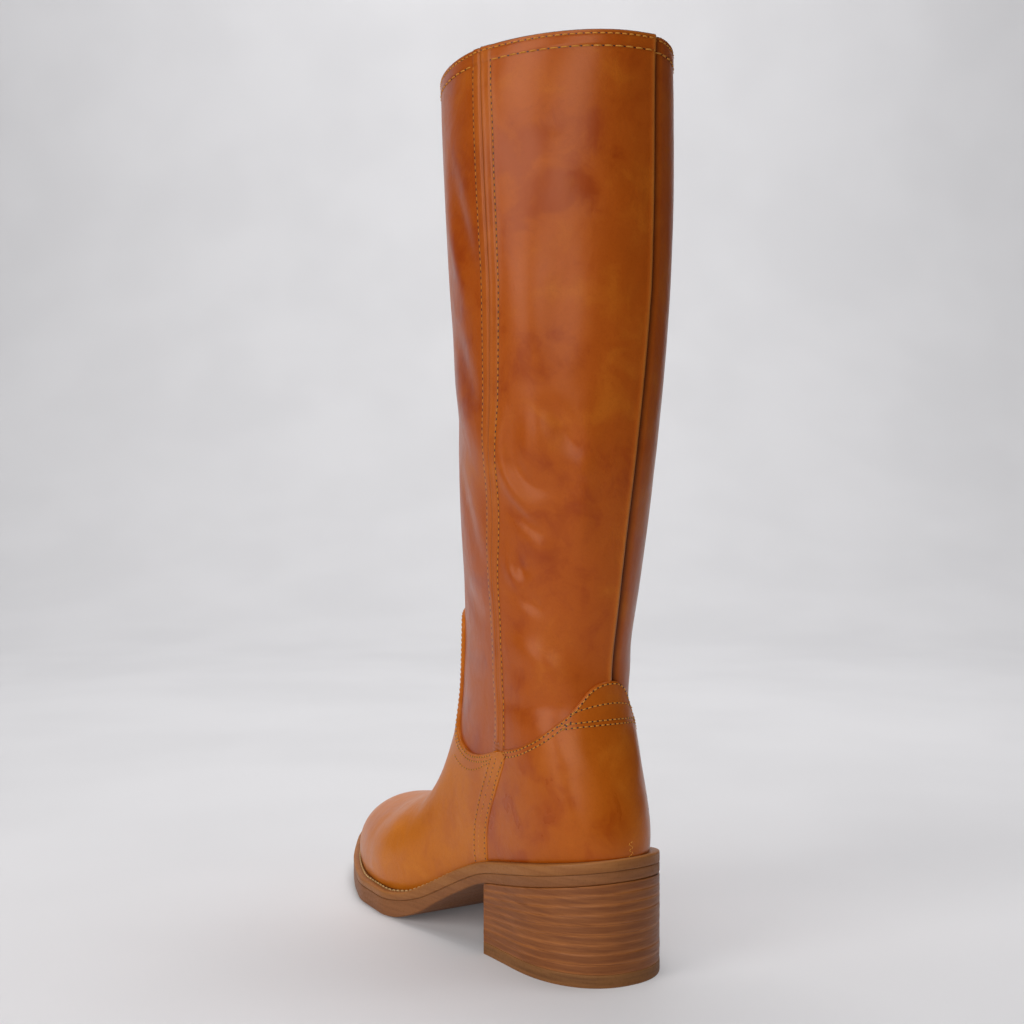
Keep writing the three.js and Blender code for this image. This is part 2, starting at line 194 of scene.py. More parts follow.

# Stitches of each kind of row: pitch, length and radius of the thread, and radius of the needle holes' dark
# discs of painted shade.
STITCHES = {
    "side seam": (2.9, 1.8, 0.22, 0.5),
    "collar edge": (3.4, 2.5, 0.34, 0.36),
    "hem": (4.9, 3.7, 0.36, 0.5),
    "back seam": (3.1, 1.5, 0.2, 0.0),
    "overlay edge": (2.6, 1.8, 0.28, 0.42),
    "third row": (2.8, 1.9, 0.24, 0.36),
    "foot seam": (2.6, 1.7, 0.22, 0.42),
    "zigzag": (1.5, 1.3, 0.2, 0.0),
    "welt": (3.6, 2.7, 0.46, 0.4),
}

# Soft folds of the shaft. A row is one trough or ridge: a path of three places, each an angle from the front
# over the outer side in degrees and a height, then its half width and its depth, negative for a trough.
FOLD_COLUMNS = ["angle1", "height1", "angle2", "height2", "angle3", "height3", "halfWidth", "depth"]
FOLDS = [
    [107, 258, 101, 228, 129, 208, 3.6, 1.7],
    [112, 252, 108, 228, 133, 223, 4.4, -1.9],
    [122, 262, 126, 246, 122, 232, 7.0, 1.2],
    [111, 217, 119, 210, 131, 203, 4.0, -1.5],
    [111, 195, 110, 181, 122, 174, 3.0, 1.2],
    [115, 194, 115, 184, 123, 187, 3.6, -1.6],
    [122, 206, 130, 196, 134, 188, 6.0, 1.2],
    [116, 178, 122, 172, 132, 168, 3.8, -1.4],
    [130, 260, 139, 248, 147, 240, 4.0, -1.4],
    [147, 262, 150, 230, 150, 196, 5.0, 1.1],
    [140, 229, 146, 225, 152, 227, 1.8, -0.4],
    [138, 223, 146, 219, 153, 221, 1.8, -0.4],
    [139, 216, 146, 213, 152, 215, 1.8, -0.35],
    [106, 148, 126, 148, 146, 134, 8.0, 1.7],
    [88, 124, 115, 120, 141, 124, 5.5, -1.3],
    [112, 330, 118, 300, 116, 272, 10.0, 1.3],
    [130, 345, 134, 310, 132, 280, 8.0, -1.1],
    [106, 395, 112, 376, 122, 366, 7.0, -1.0],
    [136, 366, 146, 352, 160, 350, 6.0, -0.9],
    [120, 390, 128, 384, 134, 386, 2.4, -0.4],
    [66, 375, 73, 351, 84, 327, 5.5, -2.0],
    [58, 356, 68, 336, 78, 312, 6.0, 1.3],
    [60, 300, 72, 282, 84, 262, 7.0, -1.6],
    [55, 236, 68, 214, 84, 190, 7.0, -1.4],
    [45, 178, 62, 170, 80, 160, 8.0, -0.9],
    [-100, 250, -115, 240, -135, 232, 7.0, -1.3],
    [-106, 150, -124, 146, -146, 136, 8.0, 1.2],
    [-60, 215, -85, 205, -110, 208, 7.0, -1.2],
    [-118, 330, -126, 300, -122, 270, 9.0, -1.0],
    [20, 200, 0, 196, -25, 200, 9.0, -1.2],
]


# ---------------------------------------------------------------- the form

def catmull_rom(rows, t):
    """Rows of a table at real row numbers, on a smooth curve through them."""
    t = np.asarray(t, float)
    i = np.clip(np.floor(t).astype(int), 0, len(rows) - 2)
    f = (t - i)[..., None]
    b = rows[i]
    c = rows[i + 1]
    a = np.where((i > 0)[..., None], rows[np.maximum(i - 1, 0)], 2 * b - c)
    last = len(rows) - 2
    d = np.where((i < last)[..., None], rows[np.minimum(i + 2, len(rows) - 1)], 2 * c - b)
    cubic = (3 * b - a - 3 * c + d) * f ** 3
    return 0.5 * (2 * b + (c - a) * f + (2 * a - 5 * b + 4 * c - d) * f ** 2 + cubic)


def curve_of(table, column):
    """A function of x through a table's rows that never overshoots them."""
    xs = np.array(table["x"], float)
    values = np.array(table[column], float)
    chords = np.diff(values) / np.diff(xs)
    product = chords[:-1] * chords[1:]
    total = np.where(product > 0, chords[:-1] + chords[1:], 1)
    inner = np.where(product > 0, 2 * product / total, 0)
    slopes = np.concatenate([chords[:1], inner, chords[-1:]])

    def value(x):
        at = np.clip(np.asarray(x, float), xs[0], xs[-1])
        row = np.clip(np.searchsorted(xs, at, side="right") - 1, 0, len(xs) - 2)
        h = xs[row + 1] - xs[row]
        f = (at - xs[row]) / h
        rise = values[row + 1] - values[row]
        bend = (slopes[row] * h - rise) * (1 - f) + (rise - slopes[row + 1] * h) * f
        return values[row] + rise * f + f * (1 - f) * bend

    return value


welt_top = curve_of(WELT_TOP, "z")
tread = curve_of(TREAD, "z")
welt_thickness = curve_of(WELT_THICKNESS, "z")
outer_width = curve_of(SOLE_WIDTHS, "outer")
inner_width = curve_of(SOLE_WIDTHS, "inner")
side_seam_degrees = curve_of(SIDE_SEAM, "degrees")


def rounding(share, power):
    """How far a rounded end has closed, from 1 at its start to 0 at its tip."""
    u = np.clip(share, 0, 1)
    return (1 - u ** power) ** (1 / power)


def form_point(t, angle):
    """Points of the form: t counts the table's rows, angle runs from the front over the outer side."""
    t, angle = np.broadcast_arrays(np.asarray(t, float), np.asarray(angle, float))
    s = dict(zip(FORM_COLUMNS, np.moveaxis(catmull_rom(FORM_ROWS, t), -1, 0)))
    cos = np.cos(angle)
    sin = np.sin(angle)
    power = np.where(cos >= 0, s["frontPower"], s["backPower"])
    along = np.abs(cos) ** (2 / power)
    share = np.where(cos >= 0, s["widest"] + (1 - s["widest"]) * along, s["widest"] * (1 - along))
    nose = rounding((s["backX"] - NOSE_START) / (FOOT_TIP - NOSE_START), NOSE_POWER)
    width = np.where(sin >= 0, s["outer"], -s["inner"]) * np.abs(sin) ** (2 / power) * nose
    rise = NOSE_LOW + (1 - NOSE_LOW) * nose ** NOSE_RISE_POWER
    x = s["backX"] + (s["frontX"] - s["backX"]) * share
    y = s["backShift"] + (s["frontShift"] - s["backShift"]) * share + width
    z = s["backZ"] + (s["frontZ"] - s["backZ"]) * share * rise
    turn = TWIST * np.clip((z - TWIST_LOW) / (TWIST_HIGH - TWIST_LOW), 0, 1)
    x = x - TWIST_AXIS_X
    turned_x = TWIST_AXIS_X + x * np.cos(turn) - y * np.sin(turn)
    return np.stack([turned_x, x * np.sin(turn) + y * np.cos(turn), z], axis=-1)


def side_seam(t):
    """The side seams' angle from the front at real row numbers."""
    return np.radians(side_seam_degrees(t))


def unit(v):
    return v / np.maximum(np.linalg.norm(v, axis=-1, keepdims=True), 1e-9)


def form_normal(t, angle, step=0.03, turn=0.06):
    """The form's outward direction, from its slopes along and around."""
    along = form_point(np.minimum(t + step, LAST_ROW), angle) - form_point(np.maximum(t - step, 0), angle)
    around = form_point(t, angle + turn) - form_point(t, angle - turn)
    return unit(np.cross(around, along))


def ring_speed(t, angle, turn=0.05):
    """Millimetres along a section for each radian of angle."""
    chord = form_point(t, angle + turn) - form_point(t, angle - turn)
    return np.linalg.norm(chord, axis=-1) / (2 * turn)


def bump(x, width):
    """A soft hump, 1 at x = 0 and nearly 0 two widths away."""
    return np.exp(-((x / width) ** 2))


def ridge(x, shape):
    """A soft hump given by its height, its place and its half width."""
    height, place, width = shape
    return height * bump(x - place, width)


def smooth_step(x, low, high):
    u = np.clip((x - low) / (high - low), 0, 1)
    return u * u * (3 - 2 * u)


def within(values, limits):
    return (values > limits[0]) & (values < limits[1])


def halve(low, high, shape, below):
    """Places between low and high where below() turns from true to false, found by halving."""
    low = np.full(shape, float(low))
    high = np.full(shape, float(high))
    for _ in range(26):
        middle = 0.5 * (low + high)
        ok = below(middle)
        low = np.where(ok, middle, low)
        high = np.where(ok, high, middle)
    return low


def below_collar(angle, points):
    """Height from a place on the shaft up to the collar's edge."""
    return form_point(LAST_ROW, angle)[..., 2] - points[..., 2]


def fold_relief(angle, height):
    """Sum of the shaft's soft folds at places given by angle and height."""
    across = SHAFT_RADIUS * np.asarray(angle, float)
    lap = 2 * math.pi * SHAFT_RADIUS
    total = np.zeros(np.broadcast(across, height).shape)
    for row in FOLDS:
        fold = dict(zip(FOLD_COLUMNS, row))
        path = []
        for u in np.linspace(0, 1, 9):
            weights = ((1 - u) ** 2, 2 * u * (1 - u), u * u)
            names = ("1", "2", "3")
            a = sum(w * fold["angle" + n] for w, n in zip(weights, names))
            z = sum(w * fold["height" + n] for w, n in zip(weights, names))
            path.append((SHAFT_RADIUS * math.radians(a), z, 0.35 + 0.65 * math.sin(math.pi * u)))
        nearest = np.full(total.shape, 1e9)
        strength = np.zeros(total.shape)
        for (a0, z0, s0), (a1, z1, s1) in zip(path, path[1:]):
            da = a1 - a0
            dz = z1 - z0
            for shift in (-lap, 0, lap):
                pa = across + shift - a0
                pz = height - z0
                f = np.clip((pa * da + pz * dz) / (da * da + dz * dz), 0, 1)
                gap = np.hypot(pa - f * da, pz - f * dz)
                closer = gap < nearest
                nearest = np.where(closer, gap, nearest)
                strength = np.where(closer, s0 + (s1 - s0) * f, strength)
        total = total + fold["depth"] * strength * bump(nearest, fold["halfWidth"])
    return total


def upper_relief(t, angle, points):
    """How far the shaft's outside stands off the plain form: seams, hem and folds."""
    angle = (angle + math.pi) % (2 * math.pi) - math.pi
    height = points[..., 2]
    relief = fold_relief(angle, height)
    side = (np.abs(angle) - side_seam(t)) * ring_speed(t, side_seam(t))
    band = 1 - smooth_step(np.abs(side), SEAM_BAND - 0.4, SEAM_BAND + 1.4)
    relief += SIDE_BAND_RISE * band + ridge(side, SIDE_RIDGE) + ridge(side, SIDE_GROOVE)
    relief += ridge(np.abs(side), ROW_GROOVE)
    back = (math.pi - np.abs(angle)) * ring_speed(t, math.pi)
    lap = LAP_RISE * (1 - smooth_step(back, 1.0, 9)) + ridge(back, LAP_RIDGE)
    gap = -BACK_GAP_DEPTH * (1 - smooth_step(back, 1.6, 4.2))
    relief += np.where(back < BACK_SEAM_REACH, np.where(angle >= 0, lap, gap), 0)
    hem = below_collar(angle, points)
    relief += HEM_RISE * (1 - smooth_step(hem, HEM_ROWS[1] - 0.6, HEM_ROWS[1] + 1.2))
    for row in HEM_ROWS:
        relief -= HEM_GROOVE_DEPTH * bump(hem - row, HEM_GROOVE_WIDTH)
    return relief


def upper_surface(t, angle):
    points = form_point(t, angle)
    return points + form_normal(t, angle) * upper_relief(t, angle, points)[..., None]


def skin_surface(t, angle):
    return form_point(t, angle) + form_normal(t, angle) * SKIN


def sole_edges(x):
    """The sole's two edges at x."""
    nose = rounding((x - SOLE_NOSE_START) / (SOLE_TIP - SOLE_NOSE_START), NOSE_POWER)
    heel = rounding((SOLE_HEEL_START - x) / (SOLE_HEEL_START - SOLE_BACK), SOLE_HEEL_POWER)
    swing = SOLE_SWING * np.maximum(0, (x - SWING_START) / (SOLE_TIP - SWING_START))
    return swing + outer_width(x) * nose * heel, swing - inner_width(x) * nose * heel


# ---------------------------------------------------------------- places and meshes

LIFT_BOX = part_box("top_lift")
SHIFT = np.array([
    LIFT_BOX[1].x * 1000 - HEEL_BREAST,
    LIFT_BOX[1].y * 1000 - float(outer_width(HEEL_BREAST)),
    LIFT_BOX[0].z * 1000,
])


def in_frame(points):
    return (np.asarray(points, float) + SHIFT) * 0.001


def make_piece(name, points, faces, materials, face_materials=None, attributes=None):
    """A mesh object of points in millimetres, riding on the boot's one body."""
    mesh = bpy.data.meshes.new(name)
    mesh.from_pydata(in_frame(points).tolist(), [], [list(map(int, f)) for f in faces])
    for material in materials:
        mesh.materials.append(material)
    mesh.polygons.foreach_set("use_smooth", [True] * len(mesh.polygons))
    if face_materials is not None:
        mesh.polygons.foreach_set("material_index", [int(m) for m in face_materials])
    for key, values in (attributes or {}).items():
        layer = mesh.attributes.new(key, "FLOAT", "POINT")
        layer.data.foreach_set("value", np.asarray(values, np.float32))
    mesh.update()
    piece = bpy.data.objects.new(name, mesh)
    bpy.context.scene.collection.objects.link(piece)
    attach(piece, "root")
    return piece


def weld(piece, distance):
    """Joins points that lie in one place and turns every face outwards."""
    work = bmesh.new()
    work.from_mesh(piece.data)
    bmesh.ops.remove_doubles(work, verts=work.verts, dist=distance)
    bmesh.ops.dissolve_degenerate(work, dist=1e-7, edges=work.edges)
    bmesh.ops.recalc_face_normals(work, faces=work.faces)
    work.to_mesh(piece.data)
    work.free()
    piece.data.update()


def grid_faces(rows, columns, closed=False):
    """Quads between rows of points that follow each other."""
    i = np.arange(rows - 1)[:, None]
    k = np.arange(columns if closed else columns - 1)[None, :]
    a = i * columns + k
    b = i * columns + (k + 1) % columns
    return np.stack([a, b, b + columns, a + columns], axis=-1).reshape(-1, 4).tolist()


def side_line(points, steps=8):
    """A smooth open line through a few places in side view, by centripetal Catmull-Rom."""
    p = [np.array(q, float) for q in points]
    p = [2 * p[0] - p[1]] + p + [2 * p[-1] - p[-2]]
    line = []
    for a, b, c, d in zip(p, p[1:], p[2:], p[3:]):
        ta = 0.0
        tb = ta + np.linalg.norm(b - a) ** 0.5
        tc = tb + np.linalg.norm(c - b) ** 0.5
        td = tc + np.linalg.norm(d - c) ** 0.5
        for k in range(steps):
            t = tb + (tc - tb) * k / steps
            ab = (tb - t) / (tb - ta) * a + (t - ta) / (tb - ta) * b
            bc = (tc - t) / (tc - tb) * b + (t - tb) / (tc - tb) * c
            cd = (td - t) / (td - tc) * c + (t - tc) / (td - tc) * d
            abc = (tc - t) / (tc - ta) * ab + (t - ta) / (tc - ta) * bc
            bcd = (td - t) / (td - tb) * bc + (t - tb) / (td - tb) * cd
            line.append((tc - t) / (tc - tb) * abc + (t - tb) / (tc - tb) * bcd)
    line.append(p[-2])
    return np.array(line)


def line_distance(line, x, z):
    """Distance in side view to a line of points."""
    nearest = np.full(x.shape, 1e9)
    for (x0, z0), (x1, z1) in zip(line, line[1:]):
        dx = x1 - x0
        dz = z1 - z0
        f = np.clip(((x - x0) * dx + (z - z0) * dz) / max(dx * dx + dz * dz, 1e-9), 0, 1)
        nearest = np.minimum(nearest, np.hypot(x - x0 - f * dx, z - z0 - f * dz))
    return nearest


def inside_distance(outline, x, z):
    """Distance in side view to a closed outline, positive inside it."""
    closed = np.concatenate([outline, outline[:1]])
    inside = np.zeros(x.shape, bool)
    for (x0, z0), (x1, z1) in zip(closed, closed[1:]):
        at = x0 + (z - z0) * (x1 - x0) / ((z1 - z0) or 1e-9)
        inside ^= ((z0 > z) != (z1 > z)) & (x < at)
    nearest = line_distance(closed, x, z)
    return np.where(inside, nearest, -nearest)


class Skin:
    """A fine grid over part of the form, on which pieces are trimmed and rows of stitches are traced."""

    def __init__(self, ts, angles, surface):
        self.ts = np.asarray(ts, float)
        self.angles = np.asarray(angles, float)  # one full turn, with no place given twice
        self.t, self.angle = np.meshgrid(self.ts, self.angles, indexing="ij")
        self.points = surface(self.t, self.angle)
        self.surface = surface

    def true_distance(self, field):
        """A side-view distance, turned into millimetres along the surface."""
        p = np.concatenate([self.points[:, -1:], self.points, self.points[:, :1]], axis=1)
        f = np.concatenate([field[:, -1:], field, field[:, :1]], axis=1)
        pt = np.gradient(p, axis=0)
        pa = np.gradient(p, axis=1)
        ft = np.gradient(f, axis=0)
        fa = np.gradient(f, axis=1)
        tt = (pt * pt).sum(-1)
        aa = (pa * pa).sum(-1)
        ta = (pt * pa).sum(-1)
        area = np.maximum(tt * aa - ta * ta, 1e-9)
        slope = np.sqrt(np.maximum((aa * ft * ft - 2 * ta * ft * fa + tt * fa * fa) / area, 0))[:, 1:-1]
        return field / np.clip(slope, 0.25, 1.5)

    def distance(self, outline):
        """Millimetres along the surface from a closed outline in side view, positive inside it."""
        return self.true_distance(inside_distance(outline, self.points[..., 0], self.points[..., 2]))

    def trim(self, field, keep=0.06):
        """The part of the grid where field > 0: places (t, angle), faces, and its edges as ordered lists."""
        rows, columns = field.shape
        turn = 2 * math.pi
        places = {}
        numbers = []

        def corner(i, k):
            key = (i, k % columns)
            if key not in places:
                places[key] = len(numbers)
                numbers.append((self.ts[i], self.angles[key[1]]))
            return places[key]

        def crossing(i0, k0, i1, k1):
            a = field[i0, k0 % columns]
            b = field[i1, k1 % columns]
            u = a / (a - b)
            if u < keep:
                return corner(i0, k0)
            if u > 1 - keep:
                return corner(i1, k1)
            first = (i0, k0 % columns)
            second = (i1, k1 % columns)
            key = (first, second) if first <= second else (second, first)
            if key not in places:
                places[key] = len(numbers)
                a0 = self.angles[k0 % columns] + turn * (k0 // columns)
                a1 = self.angles[k1 % columns] + turn * (k1 // columns)
                numbers.append((self.ts[i0] + (self.ts[i1] - self.ts[i0]) * u, a0 + (a1 - a0) * u))
            return places[key]

        faces = []
        edges = {}
        positive = field > 0
        near = np.zeros(field.shape, int)
        for i, k in ((0, 0), (1, 0), (0, 1), (1, 1)):
            near[: rows - 1] += np.roll(positive, -k, axis=1)[i: rows - 1 + i]
        for i in range(rows - 1):
            for k in range(columns):
                count = near[i, k]
                if count == 0:
                    continue
                square = [(i, k), (i, k + 1), (i + 1, k + 1), (i + 1, k)]
                if count == 4:
                    faces.append([corner(*c) for c in square])
                    continue
                loop = []
                cuts = []
                for c, d in zip(square, square[1:] + square[:1]):
                    c_in = positive[c[0], c[1] % columns]
                    d_in = positive[d[0], d[1] % columns]
                    if c_in:
                        loop.append(corner(*c))
                    if c_in != d_in:
                        loop.append(crossing(*c, *d))
                        cuts.append((loop[-1], c_in))
                clean = [v for n, v in enumerate(loop) if v != loop[n - 1]]
                if len(set(clean)) >= 3:
                    faces.append(clean)
                if len(cuts) == 2 and cuts[0][0] != cuts[1][0]:
                    leaving, entering = (cuts[0][0], cuts[1][0]) if cuts[0][1] else (cuts[1][0], cuts[0][0])
                    edges[leaving] = entering
        loops = []
        ends = set(edges.values())
        starts = [v for v in edges if v not in ends] + list(edges)
        for begin in starts:
            if begin not in edges:
                continue
            path = [begin]
            while path[-1] in edges:
                path.append(edges.pop(path[-1]))
                if path[-1] == begin:
                    break
            loops.append(path)
        return np.array(numbers), faces, loops

    def traces(self, field):
        """Lines where field = 0, as arrays of places (t, angle)."""
        numbers, _, loops = self.trim(field, keep=0.0)
        return [numbers[path] for path in loops if len(path) > 2]


# ---------------------------------------------------------------- nodes of materials

def linear(red, green, blue):
    """A colour given in 0 to 255 display values."""
    shares = [v / 255 for v in (red, green, blue)]
    return tuple(v / 12.92 if v <= 0.04045 else ((v + 0.055) / 1.055) ** 2.4 for v in shares) + (1.0,)


def scaled(colour, factor):
    return linear(*[min(255, factor * c) for c in colour])


class Nodes:
    """A material's node tree, built in short calls."""

    def __init__(self, name):
        self.material = bpy.data.materials.new(name)
        self.material.use_nodes = True
        self.tree = self.material.node_tree
        self.tree.nodes.clear()

    def put(self, kind, inputs=None, **settings):
        made = self.tree.nodes.new("ShaderNode" + kind)
        for key, value in settings.items():
            setattr(made, key, value)
        for key, value in (inputs or {}).items():
            self.feed(made.inputs[key], value)
        return made

    def feed(self, socket, value):
        if isinstance(value, bpy.types.NodeSocket):
            self.tree.links.new(value, socket)
        else:
            socket.default_value = value

    def position(self, scale=(1, 1, 1)):
        """The place on the piece in millimetres, each axis times its scale."""
        place = self.put("TexCoord").outputs["Object"]
        stretch = tuple(1000 * s for s in scale)
        return self.put("VectorMath", {0: place, 1: stretch}, operation="MULTIPLY").outputs[0]

    def noise(self, place, scale, detail=2.0, roughness=0.5, distortion=0.0):
        values = {"Vector": place, "Scale": scale, "Detail": detail, "Roughness": roughness,
                  "Distortion": distortion}
        return self.put("TexNoise", values).outputs["Fac"]

    def math(self, operation, a, b=0.0):
        return self.put("Math", {0: a, 1: b}, operation=operation).outputs[0]

    def range(self, value, low, high, to_low=0.0, to_high=1.0):
        values = {"Value": value, "From Min": low, "From Max": high, "To Min": to_low, "To Max": to_high}
        return self.put("MapRange", values, interpolation_type="SMOOTHSTEP").outputs[0]

    def mix(self, share, a, b):
        made = self.put("Mix", {0: share, 6: a, 7: b}, data_type="RGBA", blend_type="MIX")
        return made.outputs[2]

    def fade(self, value, low, high, a, b, most=1.0):
        """Colour a where the value is low, and up to most of colour b where it is high."""
        return self.mix(self.range(value, low, high, 0.0, most), a, b)

    def attribute(self, name):
        return self.put("Attribute", attribute_name=name).outputs["Fac"]

    def bump(self, height, strength, distance, normal=None):
        values = {"Height": height, "Strength": strength, "Distance": distance}
        if normal is not None:
            values["Normal"] = normal
        return self.put("Bump", values).outputs[0]

    def finish(self, **inputs):
        shader = self.put("BsdfPrincipled")
        for key, value in inputs.items():
            self.feed(shader.inputs[key.replace("_", " ")], value)
        self.put("OutputMaterial", {"Surface": shader.outputs[0]})
        return self.material


def leather(name, colours, roughness):
    """Smooth glossy leather: clouds, fine grain, faint wrinkles, painted shade in seams, paler raised edges
    from rubbing and painted highlight.
    """
    deep, middle, light = [linear(*c) for c in colours]
    n = Nodes(name)
    place = n.position()
    clouds = n.noise(place, 0.014, 2.0, 0.5, 0.3)
    blotches = n.noise(place, 0.06, 4.0, 0.6, 0.5)
    mixed = n.math("ADD", n.math("MULTIPLY", clouds, 0.55), n.math("MULTIPLY", blotches, 0.45))
    tone = n.fade(mixed, 0.36, 0.5, deep, middle)
    tone = n.fade(mixed, 0.5, 0.66, tone, light)
    fine = n.noise(place, 1.3, 3.0, 0.65)
    speckle = n.noise(place, 0.8, 3.0, 0.6)
    # painted shade in the seams' grooves and the back seam's gap
    tone = n.mix(n.math("MULTIPLY", n.attribute("seam_shade"), 0.6), tone, linear(78, 34, 8))
    # paler raised edges: partly rubbing, partly painted highlight
    tone = n.mix(n.math("MULTIPLY", n.attribute("rub_and_highlight"), 0.55), tone, linear(206, 132, 56))
    tone = n.fade(fine, 0.4, 0.72, tone, deep, 0.2)
    tone = n.fade(speckle, 0.5, 0.72, tone, linear(120, 50, 8), 0.12)
    cells = n.put("TexVoronoi", {"Vector": place, "Scale": 0.55}, feature="DISTANCE_TO_EDGE").outputs[0]
    patch = n.range(n.noise(place, 0.03, 2.0), 0.46, 0.66)
    lines = n.math("MULTIPLY", n.range(cells, 0.0, 0.16, 1.0, 0.0), patch)
    soft = n.noise(place, 0.05, 3.0, 0.5, 0.3)
    normal = n.bump(soft, 0.34, 0.0022)
    normal = n.bump(n.math("MULTIPLY", lines, -1.0), 0.08, 0.0003, normal)
    normal = n.bump(fine, 0.12, 0.0003, normal)
    rough = n.range(blotches, 0.3, 0.7, roughness - 0.06, roughness + 0.06)
    rough = n.math("ADD", rough, n.math("MULTIPLY", n.attribute("seam_shade"), 0.15))
    return n.finish(
        Base_Color=tone, Roughness=rough, Normal=normal, Specular_IOR_Level=0.42,
        Specular_Tint=linear(255, 176, 120), Coat_Weight=0.22, Coat_Roughness=0.26,
    )


def edge_paint_and_hole_shade(name, colour):
    # dark spotted finish: the collar's edge paint, and the painted shade of the needle holes
    n = Nodes(name)
    place = n.position()
    spots = n.noise(place, 0.9, 3.0, 0.6)
    tone = n.fade(spots, 0.35, 0.65, linear(*colour), scaled(colour, 0.68))
    normal = n.bump(spots, 0.3, 0.0003)
    return n.finish(Base_Color=tone, Roughness=0.5, Normal=normal)


def lining_leather(name):
    n = Nodes(name)
    place = n.position()
    clouds = n.noise(place, 0.05, 3.0)
    pores = n.put("TexVoronoi", {"Vector": place, "Scale": 0.9}).outputs["Distance"]
    tone = n.fade(clouds, 0.35, 0.65, linear(176, 128, 84), linear(198, 152, 106))
    tone = n.mix(n.range(pores, 0.0, 0.25, 0.35, 0.0), tone, linear(140, 96, 58))
    normal = n.bump(pores, 0.25, 0.0003)
    return n.finish(Base_Color=tone, Roughness=0.78, Normal=normal)


def thread(name, colour, dark):
    """Twisted sewing thread: fine diagonal strands and a slight colour change along it."""
    n = Nodes(name)
    place = n.position()
    strands = n.put("TexWave", {"Vector": place, "Scale": 1.6, "Distortion": 1.5, "Detail": 1.0},
                    bands_direction="DIAGONAL").outputs["Fac"]
    change = n.noise(place, 0.12, 2.0)
    tone = n.fade(strands, 0.1, 0.9, linear(*colour), linear(*dark), 0.45)
    tone = n.fade(change, 0.35, 0.7, tone, linear(*dark), 0.3)
    normal = n.bump(strands, 0.4, 0.0002)
    return n.finish(Base_Color=tone, Roughness=0.6, Normal=normal, Specular_IOR_Level=0.25)


def stacked_leather(name, deep, middle, light):
    """Leather board pressed in layers: streaks along it and a paler line at each joint."""
    n = Nodes(name)
    streaks = n.noise(n.position((0.055, 0.055, 1.0)), 0.9, 5.0, 0.62, 0.2)
    fibres = n.noise(n.position((0.22, 0.22, 3.2)), 0.8, 4.0, 0.7)
    tone = n.fade(streaks, 0.3, 0.62, linear(*deep), linear(*middle))
    tone = n.fade(streaks, 0.56, 0.8, tone, linear(*light), 0.7)
    tone = n.fade(fibres, 0.42, 0.7, tone, linear(*deep), 0.3)
    tone = n.mix(n.math("MULTIPLY", n.attribute("layer_tone"), 0.35), tone, linear(*deep))
    joint = n.math("MULTIPLY", n.attribute("joint"), n.range(streaks, 0.3, 0.6, 0.25, 1.0))
    tone = n.mix(n.math("MULTIPLY", joint, 0.42), tone, scaled(light, 1.25))
    normal = n.bump(fibres, 0.25, 0.0003)
    normal = n.bump(streaks, 0.2, 0.0005, normal)
    rough = n.range(fibres, 0.3, 0.7, 0.36, 0.54)
    return n.finish(Base_Color=tone, Roughness=rough, Normal=normal, Specular_IOR_Level=0.3)


def sole_rubber(name, deep, light, roughness):
    """Moulded rubber or painted sole edge, with brushed lines along it and small scuffs."""
    n = Nodes(name)
    brushed = n.noise(n.position((0.08, 0.08, 1.2)), 0.5, 3.0, 0.55)
    specks = n.noise(n.position(), 0.8, 4.0, 0.65)
    tone = n.fade(brushed, 0.35, 0.65, linear(*deep), linear(*light))
    tone = n.fade(specks, 0.5, 0.75, tone, scaled(deep, 0.75), 0.3)
    # paler along the edges that the rim's profile marks
    tone = n.mix(n.math("MULTIPLY", n.attribute("rub_and_highlight"), 0.5), tone, scaled(light, 1.15))
    normal = n.bump(brushed, 0.2, 0.0004)
    normal = n.bump(specks, 0.15, 0.0003, normal)
    rough = n.range(specks, 0.3, 0.7, roughness - 0.08, roughness + 0.1)
    return n.finish(Base_Color=tone, Roughness=rough, Normal=normal, Specular_IOR_Level=0.3)


# ---------------------------------------------------------------- stitches

def spokes(first, second, count):
    """Directions all round, in the plane of two directions."""
    turns = [2 * math.pi * k / count for k in range(count)]
    return [first * math.cos(a) + second * math.sin(a) for a in turns]


def make_copies(name, clouds, template, material):
    """One mesh of many small shapes with the same faces; a cloud holds shapes, each a row of points."""
    points = np.concatenate([cloud.reshape(-1, 3) for cloud in clouds])
    size = clouds[0].shape[1]
    faces = [[base + v for v in f] for base in range(0, len(points), size) for f in template]
    piece = make_piece(name, points, faces, [material])


